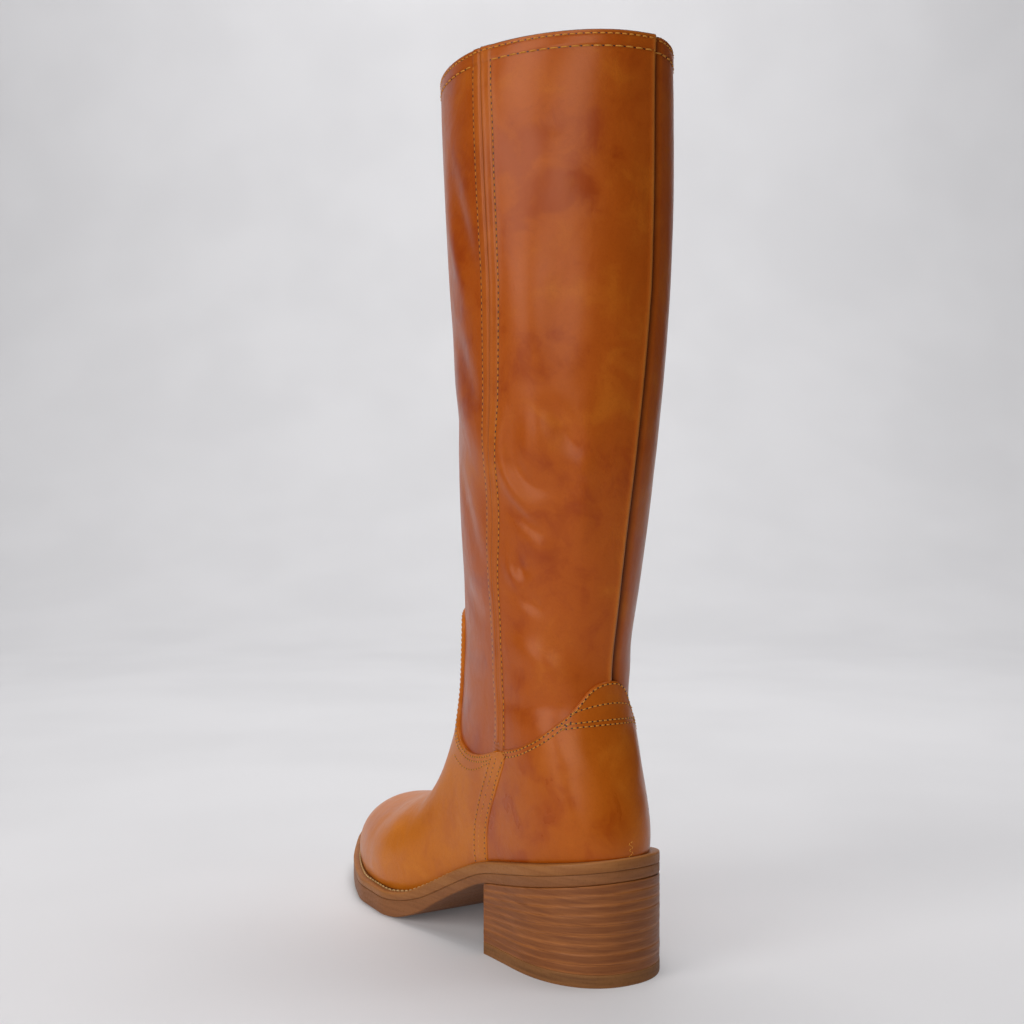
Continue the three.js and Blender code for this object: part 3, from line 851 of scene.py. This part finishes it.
class Stitches:
    """Collects single stitches and needle holes, each hole a dark disc of painted shade, then makes each kind
    one joined mesh.
    """

    SIDES = 6
    STATIONS = ((-1.0, 0.45, -0.75), (-0.8, 0.85, -0.1), (-0.35, 1.0, 0.35), (0.35, 1.0, 0.35),
                (0.8, 0.85, -0.1), (1.0, 0.45, -0.75))  # along, radius and height as shares
    HOLE_CORNERS = 8
    HOLE_RIM = 0.06  # above the surface
    HOLE_MIDDLE = 0.12

    def __init__(self):
        self.threads = {}
        self.holes = []

    def row(self, kind, stitch, points, normals, closed=False, lift=0.0):
        """Stitches along a line on the surface."""
        pitch, length, radius, hole = STITCHES[stitch]
        if closed:
            points = np.concatenate([points, points[:1]])
            normals = np.concatenate([normals, normals[:1]])
        steps = np.linalg.norm(np.diff(points, axis=0), axis=1)
        along = np.concatenate([[0], np.cumsum(steps)])
        count = max(int(round(along[-1] / pitch)), 1)
        places = (np.arange(count) + 0.5) * along[-1] / count

        def at(values, s):
            return np.stack([np.interp(s, along, values[:, c]) for c in range(3)], axis=-1)

        half = 0.5 * length
        ahead = at(points, np.minimum(places + half, along[-1]))
        forward = unit(ahead - at(points, np.maximum(places - half, 0)))
        up = unit(at(normals, places))
        up = unit(up - forward * (up * forward).sum(-1, keepdims=True))
        side = np.cross(forward, up)
        centre = at(points, places) + up * lift
        self.threads.setdefault(kind, []).append((centre, forward, side, up, half, radius))
        if hole > 0:
            middle = at(points, np.maximum(places - 0.5 * pitch, 0)) + up * max(lift, 0.0)
            self.holes.append((middle, forward, side, up, hole))

    def make_threads(self, kind, name, material):
        clouds = []
        for centre, forward, side, up, half, radius in self.threads[kind]:
            rings = []
            for along, share, height in self.STATIONS:
                base = centre + forward * (along * half) + up * (height * radius)
                rings.extend(base + spoke * (share * radius) for spoke in spokes(side, up, self.SIDES))
            clouds.append(np.stack(rings, axis=1))
        last = (len(self.STATIONS) - 1) * self.SIDES
        template = grid_faces(len(self.STATIONS), self.SIDES, closed=True)
        template.append(list(range(self.SIDES))[::-1])
        template.append([last + k for k in range(self.SIDES)])
        make_copies(name, clouds, template, material)

    def make_holes(self, name, material):
        # each needle hole is a dark disc of painted shade, lying just above the leather
        clouds = []
        corners = self.HOLE_CORNERS
        for middle, forward, side, up, radius in self.holes:
            ring = [middle + up * self.HOLE_RIM + spoke * radius for spoke in spokes(forward, side, corners)]
            clouds.append(np.stack(ring + [middle + up * self.HOLE_MIDDLE], axis=1))
        template = [[k, (k + 1) % corners, corners] for k in range(corners)]
        make_copies(name, clouds, template, material)


# ---------------------------------------------------------------- upper

HALF_SEAM = [0.3, 0.6, 1.0, 1.7, 2.8, 4.0, 4.9, 5.3, 5.7, 6.1, 6.6, 7.4, 9.0]
SEAM_COLUMNS = [-far for far in HALF_SEAM[::-1]] + [0] + HALF_SEAM  # offsets from the side seam
BACK_COLUMNS = [0.0, 0.25, 0.6, 1.0, 1.5, 2.2, 3.2, 4.6, 6.5, 9.0]
FRONT_PANEL_COLUMNS = 30
BACK_PANEL_COLUMNS = 26


def feather_angle(t, side):
    """Where a section meets the welt, as an angle from the front; half a turn where it stands clear."""

    def above(a):
        p = form_point(t, side * a)
        return p[..., 2] - welt_top(p[..., 0]) - GAP > 0

    meets = halve(0.5, math.pi, t.shape, above)
    return np.where(above(np.full(t.shape, math.pi - 1e-6)), math.pi, meets)


def ring_columns(t, side):
    """Angles of every column on one side of each ring, closer together at the seams."""
    end = feather_angle(t, side)
    seam = np.minimum(side_seam(t), 0.6 * end)
    per_mm = 1 / ring_speed(t, side * seam)
    end_per_mm = 1 / ring_speed(t, side * end)
    first = seam + SEAM_COLUMNS[0] * per_mm
    begin = seam + SEAM_COLUMNS[-1] * per_mm
    stop = end - BACK_COLUMNS[-1] * end_per_mm
    columns = [first * k / FRONT_PANEL_COLUMNS for k in range(FRONT_PANEL_COLUMNS)]
    columns += [seam + offset * per_mm for offset in SEAM_COLUMNS]
    columns += [begin + (stop - begin) * k / BACK_PANEL_COLUMNS for k in range(1, BACK_PANEL_COLUMNS)]
    columns += [end - offset * end_per_mm for offset in BACK_COLUMNS[::-1]]
    return np.stack(columns, axis=-1)


def upper_rings():
    foot = np.linspace(0.1, 10, 46)[:-1]
    leg = np.linspace(10, 20.3, 161)[:-1]
    hem = np.linspace(20.3, 21, 26)
    return np.concatenate([foot, leg, hem])


def shade_values(t, angle, points):
    """Painted shade in the seams, and paler raised edges from rubbing and painted highlight, for the
    leather's colour.
    """
    angle = (angle + math.pi) % (2 * math.pi) - math.pi
    side = np.abs((np.abs(angle) - side_seam(t)) * ring_speed(t, side_seam(t)))
    back = (math.pi - np.abs(angle)) * ring_speed(t, math.pi)
    hem = below_collar(angle, points)
    shade = np.maximum(ridge(side, SIDE_SHADE), ridge(side, ROW_SHADE))
    # painted shade deep in the back seam's gap on the inner side
    back_gap_shade = np.where(angle < 0, 1.6 * (1 - smooth_step(back, 2.0, 4.2)), 0)
    shade = np.maximum(shade, back_gap_shade)
    for row in HEM_ROWS:
        shade = np.maximum(shade, HEM_ROW_SHADE * bump(hem - row, 0.8))
    # paler lap and seam band, partly rubbing and partly painted highlight; paler collar edge
    rub_and_highlight = np.where(angle >= 0, ridge(back, LAP_RUB_AND_HIGHLIGHT), 0)
    rub_and_highlight = np.maximum(rub_and_highlight, ridge(hem, COLLAR_EDGE_PALER))
    rub_and_highlight = np.maximum(rub_and_highlight, BAND_RUB_AND_HIGHLIGHT * (1 - smooth_step(side, SEAM_BAND - 1, SEAM_BAND + 1)))
    return shade, rub_and_highlight


def both_sides(ts):
    """Angles of the columns all round each ring, from the back over the inner side and the front."""
    return np.concatenate([-ring_columns(ts, -1)[:, ::-1], ring_columns(ts, 1)[:, 1:]], axis=1)


def make_upper(materials):
    ts = upper_rings()
    angles = both_sides(ts)
    rings, columns = angles.shape
    t = np.repeat(ts[:, None], columns, axis=1)
    outside = upper_surface(t, angles)
    drop = np.array([0, 0, RIM_DROP])
    # rim of the collar: a rounded edge over the leather's thickness, as steps inwards and up
    rim = [(-0.25, 0.35), (-0.7, 0.55), (-1.3, 0.55), (-1.75, 0.35)]
    top_normal = form_normal(t[-1], angles[-1])
    cap = [outside[-1] + top_normal * inset + np.array([0, 0, lift]) - drop for inset, lift in rim]
    outside[-1] -= drop
    inside_ts = np.concatenate([ts[-1:], np.linspace(20.8, 0.1, 70)])
    inside_angles = both_sides(inside_ts)
    inside_t = np.repeat(inside_ts[:, None], columns, axis=1)
    wall = form_point(inside_t, inside_angles)
    folds = fold_relief(inside_angles, wall[..., 2])
    inside = wall + form_normal(inside_t, inside_angles) * (folds - UPPER_WALL)[..., None]
    inside[0] -= drop
    sheets = np.concatenate([outside, np.array(cap), inside])
    count = len(sheets)
    ring_of = np.repeat(np.arange(count - 1), columns - 1)
    face_materials = np.where(ring_of < rings - 1, 0, np.where(ring_of < rings + len(cap), 1, 2))
    shade, rub_and_highlight = shade_values(t, angles, form_point(t, angles))
    blank = np.zeros((len(cap) + len(inside), columns))
    attributes = {
        "seam_shade": np.concatenate([shade, blank]).ravel(),
        "rub_and_highlight": np.concatenate([rub_and_highlight, blank]).ravel(),
    }
    # the toe's first ring is closed on the outside and on the inside
    first = list(range(columns))
    last = [(count - 1) * columns + k for k in range(columns)]
    faces = grid_faces(count, columns) + [first[::-1], last]
    face_materials = [*face_materials, 0, 2]
    piece = make_piece("upper_leather", sheets.reshape(-1, 3), faces, materials, face_materials, attributes)
    weld(piece, 0.00002)
    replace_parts(piece, "upper")


# ---------------------------------------------------------------- vamp and counter

# Out from the last full-height line, and down, at the edges of the overlays and of the foot seam's strip.
EDGE_PROFILE = [(0.3, 0.03), (0.6, 0.14), (0.82, 0.36), (0.93, 0.7), (0.96, 1.15), (0.96, 1.75)]
STRIP_PROFILE = [(0.15, 0.02), (0.3, 0.12), (0.4, 0.3), (0.4, 0.55)]


def foot_skin():
    first = -0.02 + 1.02 * np.linspace(0, 1, 26) ** 1.6
    others = np.linspace(1, 14.6, 200)[1:]
    angles = np.linspace(-math.pi, math.pi, 197)[:-1]
    return Skin(np.concatenate([first, others]), angles, skin_surface)


def seam_distance(skin):
    """Distance along the surface from the foot's seam, positive in front of it."""
    seam = side_line(FOOT_SEAM)
    ends = [[seam[0, 0], BEYOND], [BEYOND, BEYOND], [BEYOND, -BEYOND], [seam[-1, 0], -BEYOND]]
    return skin.distance(np.concatenate([seam[::-1], ends]))


def outline_distance(skin, edge, far):
    """Distance along the surface below a line in side view that runs on level to x = far."""
    line = side_line(edge)
    if (line[-1, 0] - line[0, 0]) * far < 0:
        line = line[::-1]
    ends = [[far, line[-1, 1]], [far, -BEYOND], [line[0, 0], -BEYOND]]
    return skin.distance(np.concatenate([line, ends]))


def overlay_field(skin, edge, far):
    """Distance along the surface from an overlay's outline, positive inside it; it reaches to x = far."""
    shift = np.array([math.copysign(GAP / 2, far), 0])
    seam = side_line(FOOT_SEAM)
    top = side_line(edge)[1:]
    ends = np.array([[far, top[-1, 1]], [far, -BEYOND], [seam[-1, 0], -BEYOND]])
    return skin.distance(np.concatenate([seam[::-1] + shift, top + shift, ends]))


def make_overlay(name, skin, field, material, profile=EDGE_PROFILE, raised=None):
    """A trimmed skin with a rounded edge that turns down on to what lies under it."""
    numbers, faces, loops = skin.trim(field - profile[-1][0])
    t, angle = numbers.T
    points = skin.surface(t, angle)
    normals = form_normal(t, angle)
    if raised is not None:
        points = points + normals * raised(points)[:, None]
    clouds = [points]
    total = len(points)
    for loop in loops:
        closed = loop[0] == loop[-1]
        path = np.array(loop[:-1] if closed else loop)
        if len(path) < 8:
            continue
        base = points[path]
        up = normals[path]
        if closed:
            ahead = np.roll(base, -2, axis=0) - np.roll(base, 2, axis=0)
        else:
            ahead = np.gradient(base, axis=0)
        out = unit(np.cross(unit(ahead), up))
        out = out * away_from_faces(skin, field, t[path], angle[path], out)
        count = len(path)
        previous = path
        for far, down in profile:
            current = total + np.arange(count)
            clouds.append(base + out * far - up * down)
            for k in range(count if closed else count - 1):
                nxt = (k + 1) % count
                faces.append([previous[k], previous[nxt], current[nxt], current[k]])
            previous = current
            total += count
    blank = np.zeros(total)
    attributes = {"seam_shade": blank, "rub_and_highlight": blank}
    piece = make_piece(name, np.concatenate(clouds), faces, [material], None, attributes)
    weld(piece, 0.00001)
    return piece


def make_seam_strip(skin, welt, material):
    """The leather strip over the seam between vamp and counter, with a soft ridge along its middle."""
    edge = np.concatenate([side_line(COUNTER_EDGE)[::-1], side_line(VAMP_EDGE)[1:]])
    ends = [[BEYOND, edge[-1, 1]], [BEYOND, -BEYOND], [-BEYOND, -BEYOND], [-BEYOND, edge[0, 1]]]
    below_edge = skin.distance(np.concatenate([edge, ends])) - 0.5
    field = np.minimum(SEAM_STRIP - np.abs(seam_distance(skin)), np.minimum(welt, below_edge))
    seam = side_line(FOOT_SEAM)

    def raised(points):
        return STRIP_THICKNESS + ridge(line_distance(seam, points[:, 0], points[:, 2]), STRIP_RIDGE)

    make_overlay("foot_seam_strip", skin, field, material, STRIP_PROFILE, raised)


def away_from_faces(skin, field, t, angle, out):
    """+1 or -1 for a loop, so that out points to where the field falls."""
    rows = np.clip(np.searchsorted(skin.ts, t), 1, len(skin.ts) - 2)
    step = skin.angles[1] - skin.angles[0]
    columns = np.round((angle - skin.angles[0]) / step).astype(int) % len(skin.angles)
    along = skin.points[rows + 1, columns] - skin.points[rows - 1, columns]
    change = field[rows + 1, columns] - field[rows - 1, columns]
    right = (columns + 1) % len(skin.angles)
    left = (columns - 1) % len(skin.angles)
    around = skin.points[rows, right] - skin.points[rows, left]
    turn_change = field[rows, right] - field[rows, left]
    slope = (unit(along) * out).sum(-1) * change + (unit(around) * out).sum(-1) * turn_change
    return -1.0 if np.median(slope) > 0 else 1.0


# ---------------------------------------------------------------- sole

SOLE_STATIONS = 220
HEEL_STATIONS = 120
BREAST_POINTS = 13
LAYERS = 9  # of the heel's stack
LAYER_STEPS = [  # inset, share of the layer's height, and how much of the joint's colour
    (0.08, 0.0, 1.0), (0.03, 0.08, 0.9), (0.0, 0.34, 0.0), (0.0, 0.5, 0.0), (0.0, 0.72, 0.0),
    (0.03, 0.93, 0.7), (0.08, 1.0, 1.0),
]


def station_places(start, stop, count):
    u = (1 - np.cos(np.pi * np.linspace(0, 1, count + 1))) / 2
    return start + (stop - start) * u


def outward_of(loop, middle):
    """Directions out of a flat loop whose point number middle is on the boot's outer side."""
    ahead = unit(np.roll(loop, -1, axis=0) - np.roll(loop, 1, axis=0))
    outward = np.stack([-ahead[:, 1], ahead[:, 0]], axis=-1)
    return -outward if outward[middle][1] < 0 else outward


def sole_loop():
    """The sole's outline, outer side first, with its outward directions."""
    xs = station_places(SOLE_BACK, SOLE_TIP, SOLE_STATIONS)
    outer, inner = sole_edges(xs)
    loop = np.concatenate([np.stack([xs, outer], axis=-1), np.stack([xs, inner], axis=-1)[-2:0:-1]])
    return loop, outward_of(loop, len(xs) // 2)


def make_rim(name, profile, material, solid):
    """A strip all round the sole, solid under the foot or closed on itself.

    The profile's rows give the inset, a curve, the height above the curve and how much paler it is made.
    """
    loop, outward = sole_loop()
    count = len(loop)
    rings = []
    rub_and_highlight = []
    for inset, curve, above, paler_share in profile:
        flat = loop - outward * inset
        rings.append(np.column_stack([flat, curve(flat[:, 0]) + above]))
        rub_and_highlight.append(np.full(count, paler_share))
    faces = grid_faces(len(rings), count, closed=True)
    last = (len(rings) - 1) * count
    if solid:
        for base in (0, last):
            for k in range(SOLE_STATIONS):
                quad = [base + k, base + k + 1, base + (count - k - 1) % count, base + (count - k) % count]
                faces.append([v for j, v in enumerate(quad) if v != quad[j - 1]])
    else:
        for k in range(count):
            nxt = (k + 1) % count
            faces.append([last + k, last + nxt, nxt, k])
    piece = make_piece(name, np.concatenate(rings), faces, [material], None, {"rub_and_highlight": np.concatenate(rub_and_highlight)})
    weld(piece, 0.00001)
    return piece


def make_heel(name, levels, material, wobble=0.0):
    """A block under the heel, layer over layer between level curves, with a fine groove at each joint."""
    xs = station_places(SOLE_BACK, HEEL_BREAST, HEEL_STATIONS)
    outer, inner = sole_edges(xs)
    across = np.linspace(outer[-1], inner[-1], BREAST_POINTS + 2)[1:-1]
    breast = np.stack([np.full(BREAST_POINTS, float(HEEL_BREAST)), across], axis=-1)
    back = np.stack([xs, inner], axis=-1)[:0:-1]
    loop = np.concatenate([np.stack([xs, outer], axis=-1), breast, back])
    outward = outward_of(loop, HEEL_STATIONS // 2)
    count = len(loop)
    rings = []
    tones = []
    joints = []
    rng = np.random.default_rng(7)
    for bottom, top in zip(levels, levels[1:]):
        tone = rng.uniform(0, 1)
        shift = wobble * rng.uniform(-1, 1)
        for inset, share, joint in LAYER_STEPS:
            flat = loop - outward * (inset + shift)
            low = bottom(flat[:, 0])
            rings.append(np.column_stack([flat, low + (top(flat[:, 0]) - low) * share]))
            tones.append(np.full(count, tone))
            joints.append(np.full(count, joint))
    last = (len(rings) - 1) * count
    faces = grid_faces(len(rings), count, closed=True)
    faces += [[last + k for k in range(count)], list(range(count))[::-1]]
    joint = np.concatenate(joints)
    attributes = {"layer_tone": np.concatenate(tones), "joint": joint, "rub_and_highlight": joint}
    piece = make_piece(name, np.concatenate(rings), faces, [material], None, attributes)
    weld(piece, 0.00001)
    return piece


# ---------------------------------------------------------------- the boot

def welt_bottom(x):
    return welt_top(x) - welt_thickness(x)


def outsole_top(x):
    return welt_bottom(x) - GAP * 0.3


def heel_level(share):
    """A level curve of the heel's stack, from its foot to the outsole."""
    base = TOP_LIFT + 0.1
    return lambda x: base + (tread(x) - 0.1 - base) * share


def flat_level(height):
    return lambda x: np.full(x.shape, height)


def build_boot():
    shaft = leather("cognac_leather", [(150, 60, 12), (168, 78, 16), (180, 93, 20)], 0.36)
    foot = leather("tan_foot_leather", [(176, 90, 14), (190, 105, 20), (200, 116, 28)], 0.42)
    heel_leather = leather("counter_leather", [(158, 68, 10), (174, 86, 15), (186, 99, 22)], 0.32)
    paint = edge_paint_and_hole_shade("collar_edge_paint", (92, 52, 18))
    lining = lining_leather("tan_lining")
    gold = thread("golden_thread", (222, 152, 58), (168, 100, 26))
    beige = thread("beige_welt_thread", (214, 178, 124), (170, 130, 80))
    # painted shade of the needle holes: dark discs in this colour
    needle = edge_paint_and_hole_shade("needle_hole_shade", (46, 22, 8))
    welt_side = sole_rubber("welt_leather", (138, 84, 38), (152, 97, 48), 0.5)
    outsole_side = sole_rubber("outsole_edge", (128, 78, 40), (140, 88, 47), 0.55)
    stack = stacked_leather("stacked_heel", (120, 66, 28), (138, 80, 36), (154, 95, 47))
    lift = sole_rubber("top_lift_rubber", (112, 70, 34), (132, 86, 44), 0.6)

    make_upper([shaft, paint, lining])

    skin = foot_skin()
    welt = skin.true_distance(skin.points[..., 2] - welt_top(skin.points[..., 0]) + OVERLAY_TUCK)
    vamp = np.minimum(overlay_field(skin, VAMP_EDGE, BEYOND), welt)
    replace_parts(make_overlay("vamp_leather", skin, vamp, foot), "vamp")
    counter = np.minimum(overlay_field(skin, COUNTER_EDGE, -BEYOND), welt)
    panel = make_overlay("counter_leather_panel", skin, counter, heel_leather)
    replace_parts(panel, "counter")
    make_seam_strip(skin, welt, foot)

    sew(skin, gold, beige, needle)

    welt_profile = [
        (WELT_INSET, welt_bottom, 0.0, 0.0),
        (WELT_INSET, welt_top, -0.1, 0.0),
        (3.0, welt_top, 0.0, 0.2),
        (1.2, welt_top, -0.02, 0.6),
        (0.5, welt_top, -0.22, 1.0),
        (0.12, welt_top, -0.6, 0.8),
        (0.0, welt_top, -1.2, 0.2),
        (0.0, welt_bottom, 0.8, 0.0),
        (0.08, welt_bottom, 0.1, 0.0),
        (0.3, welt_bottom, 0.0, 0.0),
    ]
    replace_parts(make_rim("welt_strip", welt_profile, welt_side, solid=False), "welt")
    outsole_profile = [
        (0.4, outsole_top, 0.0, 0.0),
        (0.12, outsole_top, -0.1, 0.0),
        (0.04, outsole_top, -0.5, 0.1),
        (0.04, tread, 1.4, 0.0),
        (0.3, tread, 0.6, 0.5),
        (0.8, tread, 0.15, 0.7),
        (1.6, tread, 0.0, 0.2),
        (8.0, tread, 0.0, 0.0),
    ]
    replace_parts(make_rim("outsole_slab", outsole_profile, outsole_side, solid=True), "outsole")

    levels = [heel_level(k / LAYERS) for k in range(LAYERS + 1)]
    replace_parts(make_heel("heel_layers", levels, stack, 0.08), "heel_stack")
    levels = [flat_level(0.0), flat_level(TOP_LIFT)]
    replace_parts(make_heel("heel_tip", levels, lift), "top_lift")

    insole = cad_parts["insole"]
    insole.data.materials.clear()
    insole.data.materials.append(lining)


def heights_to_rows(angles, heights, first, last):
    """Real row numbers at which the form reaches given heights."""
    return halve(first, last, heights.shape, lambda t: form_point(t, angles)[..., 2] < heights)


def sew(skin, gold, beige, needle):
    sewing = Stitches()
    sew_shaft(sewing)
    sew_foot(sewing, skin)
    loop, outward = sole_loop()
    flat = loop - outward * WELT_ROW_INSET
    flat = flat[flat[:, 0] > WELT_ROW_BACK]
    line = np.column_stack([flat, welt_top(flat[:, 0]) + 0.2])
    sewing.row("welt", "welt", line, np.tile([0.0, 0.0, 1.0], (len(line), 1)))
    for kind, name, material, slot in (
        ("seam", "thread_of_shaft_seams", gold, "shaft_leather"),
        ("hem", "thread_of_hem", gold, "shaft_leather"),
        ("counter", "thread_of_counter", gold, "counter_leather"),
        ("vamp", "thread_of_vamp", gold, "foot_leather"),
        ("foot", "thread_of_foot_seams", gold, "foot_leather"),
        ("welt", "thread_of_welt", beige, "welt"),
    ):
        sewing.make_threads(kind, name, material)
    sewing.make_holes("needle_hole_shade_discs", needle)


def sew_shaft(sewing):
    def on_upper(kind, stitch, t, angle, **more):
        sewing.row(kind, stitch, upper_surface(t, angle), form_normal(t, angle), **more)

    # rows along the side seams, from the hem down to the overlays
    ts = np.linspace(10.6, 20.95, 700)
    for side in (1, -1):
        for edge in (1, -1):
            angle = side * (side_seam(ts) + edge * SEAM_BAND / ring_speed(ts, side * side_seam(ts)))
            points = form_point(ts, angle)
            keep = (below_collar(angle, points) > HEM_ROWS[1]) & (points[:, 2] > SIDE_ROWS_END)
            on_upper("seam", "side seam", ts[keep], angle[keep], lift=-0.03)
    # the hem's rows: the first runs all round, the second stops at the side seams' bands
    angles = np.linspace(-math.pi, math.pi, 721)[:-1]

    def rows_below(far):
        return halve(20, 21, angles.shape, lambda t: below_collar(angles, form_point(t, angles)) > far)

    on_upper("hem", "collar edge", rows_below(HEM_ROWS[0]), angles, closed=True)
    t = rows_below(HEM_ROWS[1])
    behind_seam = np.abs(angles) - side_seam(t)
    gap = SEAM_BAND / ring_speed(t, np.abs(angles))
    front = behind_seam < -gap
    on_upper("hem", "hem", t[front], angles[front])
    rear = behind_seam > gap
    turned = np.where(angles < 0, angles + 2 * math.pi, angles)[rear]
    order = np.argsort(turned)
    on_upper("hem", "hem", t[rear][order], turned[order])
    # tiny stitches in the back seam's gap
    ts = np.linspace(13.2, 20.95, 500)
    angle = -(math.pi - 0.8 / ring_speed(ts, math.pi))
    keep = form_point(ts, angle)[:, 2] > BACK_ROW_END
    on_upper("seam", "back seam", ts[keep], angle[keep], lift=0.1)


def sew_foot(sewing, skin):
    def on_skin(kind, stitch, field, keep, lift=0.0):
        """Rows where a field is 0, in the stretches that keep() chooses."""
        for line in skin.traces(field):
            t, angle = line.T
            points = skin.surface(t, angle)
            chosen = np.concatenate([[False], keep(angle, points[:, 0], points[:, 2]), [False]])
            changes = np.flatnonzero(chosen[1:] != chosen[:-1])
            for start, stop in zip(changes[::2], changes[1::2]):
                if stop - start > 6:
                    part = slice(start, stop)
                    sewing.row(kind, stitch, points[part], form_normal(t[part], angle[part]), lift=lift)

    def behind_strip(angle, x, z):
        return (x < STRIP_X[0]) & (z > COUNTER_ROWS_END)

    def beside_tab(angle, x, z):
        return behind_strip(angle, x, z) & (np.abs(angle) < TAB_SIDE)

    def ahead_of_strip(angle, x, z):
        return (x > STRIP_X[1]) & (z > VAMP_ROWS_END)

    def on_strip(angle, x, z):
        return (z < STRIP_ROWS_TOP) & (z > welt_top(x) + 1.2) & (x > 40)

    def on_third_row(angle, x, z):
        return within(x, THIRD_ROW_X) & within(z, THIRD_ROW_Z)

    from_counter = outline_distance(skin, COUNTER_EDGE, -BEYOND)
    from_vamp = outline_distance(skin, VAMP_EDGE, BEYOND)
    for below, on_counter in zip(EDGE_ROWS, (behind_strip, beside_tab)):
        on_skin("counter", "overlay edge", from_counter - below, on_counter)
        on_skin("vamp", "overlay edge", from_vamp - below, ahead_of_strip)
    for level, drop, half in COUNTER_ROWS:
        places = np.linspace(-1, 1, 9)
        turn = np.linspace(-1, 1, 160)
        heights = np.interp(turn, places, level - drop * places**2)
        angles = np.radians(180 + half * turn)
        t = heights_to_rows(angles, heights, 9.5, 15)
        sewing.row("counter", "overlay edge", skin.surface(t, angles), form_normal(t, angles))
    on_skin("vamp", "third row", outline_distance(skin, VAMP_THIRD_ROW, BEYOND), on_third_row)
    for ahead in STRIP_ROWS:
        on_skin("foot", "foot seam", seam_distance(skin) - ahead, on_strip, lift=STRIP_THICKNESS)
    # a short zigzag down the heel's centre
    heights = np.arange(*HEEL_ZIGZAG, ZIGZAG_STEP)
    t = heights_to_rows(np.full(heights.shape, math.pi), heights, 10, 12.5)
    sides = np.where(np.arange(len(t)) % 2 == 0, ZIGZAG_SWAY, -ZIGZAG_SWAY)
    sway = math.pi + sides / ring_speed(t, math.pi)
    sewing.row("counter", "zigzag", skin.surface(t, sway), form_normal(t, sway))


# ---------------------------------------------------------------- studio

REFERENCE_X = 65.82  # the point that the camera's distance is counted from
CAMERA_DISTANCE = 688
CAMERA_TURN = math.radians(31.76)
CAMERA_HEIGHT = 217.3
CAMERA_PITCH = math.radians(0.36)
CAMERA_ASIDE = 16.9
SENSOR = 36
FOCAL = 1392.5 / 1024 * SENSOR


def place_camera():
    cos = math.cos(CAMERA_TURN)
    sin = math.sin(CAMERA_TURN)
    eye = np.array([
        REFERENCE_X - CAMERA_DISTANCE * cos + CAMERA_ASIDE * sin,
        CAMERA_DISTANCE * sin + CAMERA_ASIDE * cos,
        CAMERA_HEIGHT,
    ])
    sight = Vector((cos * math.cos(CAMERA_PITCH), -sin * math.cos(CAMERA_PITCH), -math.sin(CAMERA_PITCH)))
    data = bpy.data.cameras.new("camera")
    data.lens = FOCAL
    data.sensor_width = SENSOR
    data.clip_start = 0.01
    data.clip_end = 50
    camera = bpy.data.objects.new("camera", data)
    bpy.context.scene.collection.objects.link(camera)
    camera.location = Vector(in_frame(eye))
    camera.rotation_euler = sight.to_track_quat("-Z", "Y").to_euler()
    bpy.context.scene.camera = camera


def softbox(name, place, aim, size, power, colour=(1, 1, 1)):
    data = bpy.data.lights.new(name, "AREA")
    data.shape = "RECTANGLE"
    data.size = size[0]
    data.size_y = size[1]
    data.energy = power
    data.color = colour
    lamp = bpy.data.objects.new(name, data)
    bpy.context.scene.collection.objects.link(lamp)
    lamp.location = Vector(place)
    lamp.rotation_euler = (Vector(aim) - Vector(place)).to_track_quat("-Z", "Z").to_euler()


SWEEP_LEFT = 3.0  # metres of floor to the camera's left of the boot
SWEEP_RIGHT = 1.45
SWEEP_FRONT = 1.3  # metres of floor on the camera's side of the boot
SWEEP_BACK = 1.3  # metres of flat floor behind it
SWEEP_RADIUS = 1.2
SWEEP_TOP = 4.0
SWEEP_FACETS = 24
GLOW = 0.07
WORLD_LIGHT = 0.05
AIM = (0.0, 0.0, 0.2)


def from_view(right, toward, up):
    """A place given as seen by the camera: to its right, towards it, and up, in metres from the boot."""
    cos = math.cos(CAMERA_TURN)
    sin = math.sin(CAMERA_TURN)
    return (-sin * right - cos * toward, -cos * right + sin * toward, up)


def make_floor():
    """A plain pale sheet that lies flat under the boot and far behind it curves up into a backdrop."""
    n = Nodes("pale_floor")
    clouds = n.noise(n.position(), 0.004, 2.0)
    tone = n.mix(n.range(clouds, 0.3, 0.7), linear(214, 213, 215), linear(219, 218, 220))
    glow = linear(222, 223, 227)
    material = n.finish(Base_Color=tone, Roughness=0.75, Emission_Color=glow, Emission_Strength=GLOW)
    profile = [(SWEEP_FRONT, 0.0), (-SWEEP_BACK, 0.0)]
    for k in range(1, SWEEP_FACETS + 1):
        bend = 0.5 * math.pi * k / SWEEP_FACETS
        profile.append((-SWEEP_BACK - SWEEP_RADIUS * math.sin(bend), SWEEP_RADIUS * (1 - math.cos(bend))))
    profile.append((-SWEEP_BACK - SWEEP_RADIUS, SWEEP_TOP))
    points = [from_view(side, toward, up) for toward, up in profile for side in (-SWEEP_LEFT, SWEEP_RIGHT)]
    mesh = bpy.data.meshes.new("floor")
    mesh.from_pydata(points, [], [f[::-1] for f in grid_faces(len(profile), 2)])
    mesh.materials.append(material)
    mesh.polygons.foreach_set("use_smooth", [True] * len(mesh.polygons))
    floor = bpy.data.objects.new("floor", mesh)
    bpy.context.scene.collection.objects.link(floor)


def light_studio():
    world = bpy.data.worlds.new("studio")
    world.use_nodes = True
    background = world.node_tree.nodes["Background"]
    background.inputs["Color"].default_value = linear(228, 229, 233)
    background.inputs["Strength"].default_value = WORLD_LIGHT
    bpy.context.scene.world = world
    bpy.context.scene.view_settings.view_transform = "Standard"
    softbox("key", from_view(-1.3, 1.15, 0.9), AIM, (0.9, 1.5), 15.5, (1, 0.99, 0.97))
    softbox("front", from_view(-0.3, 1.7, 0.8), AIM, (0.6, 1.3), 9)
    softbox("overhead", from_view(0.1, 0.1, 2.1), AIM, (1.4, 1.4), 10)
    softbox("backdrop", from_view(0.0, -0.5, 2.6), from_view(0.0, -2.4, 1.2), (2.4, 0.8), 52)


place_camera()
make_floor()
light_studio()
build_boot()
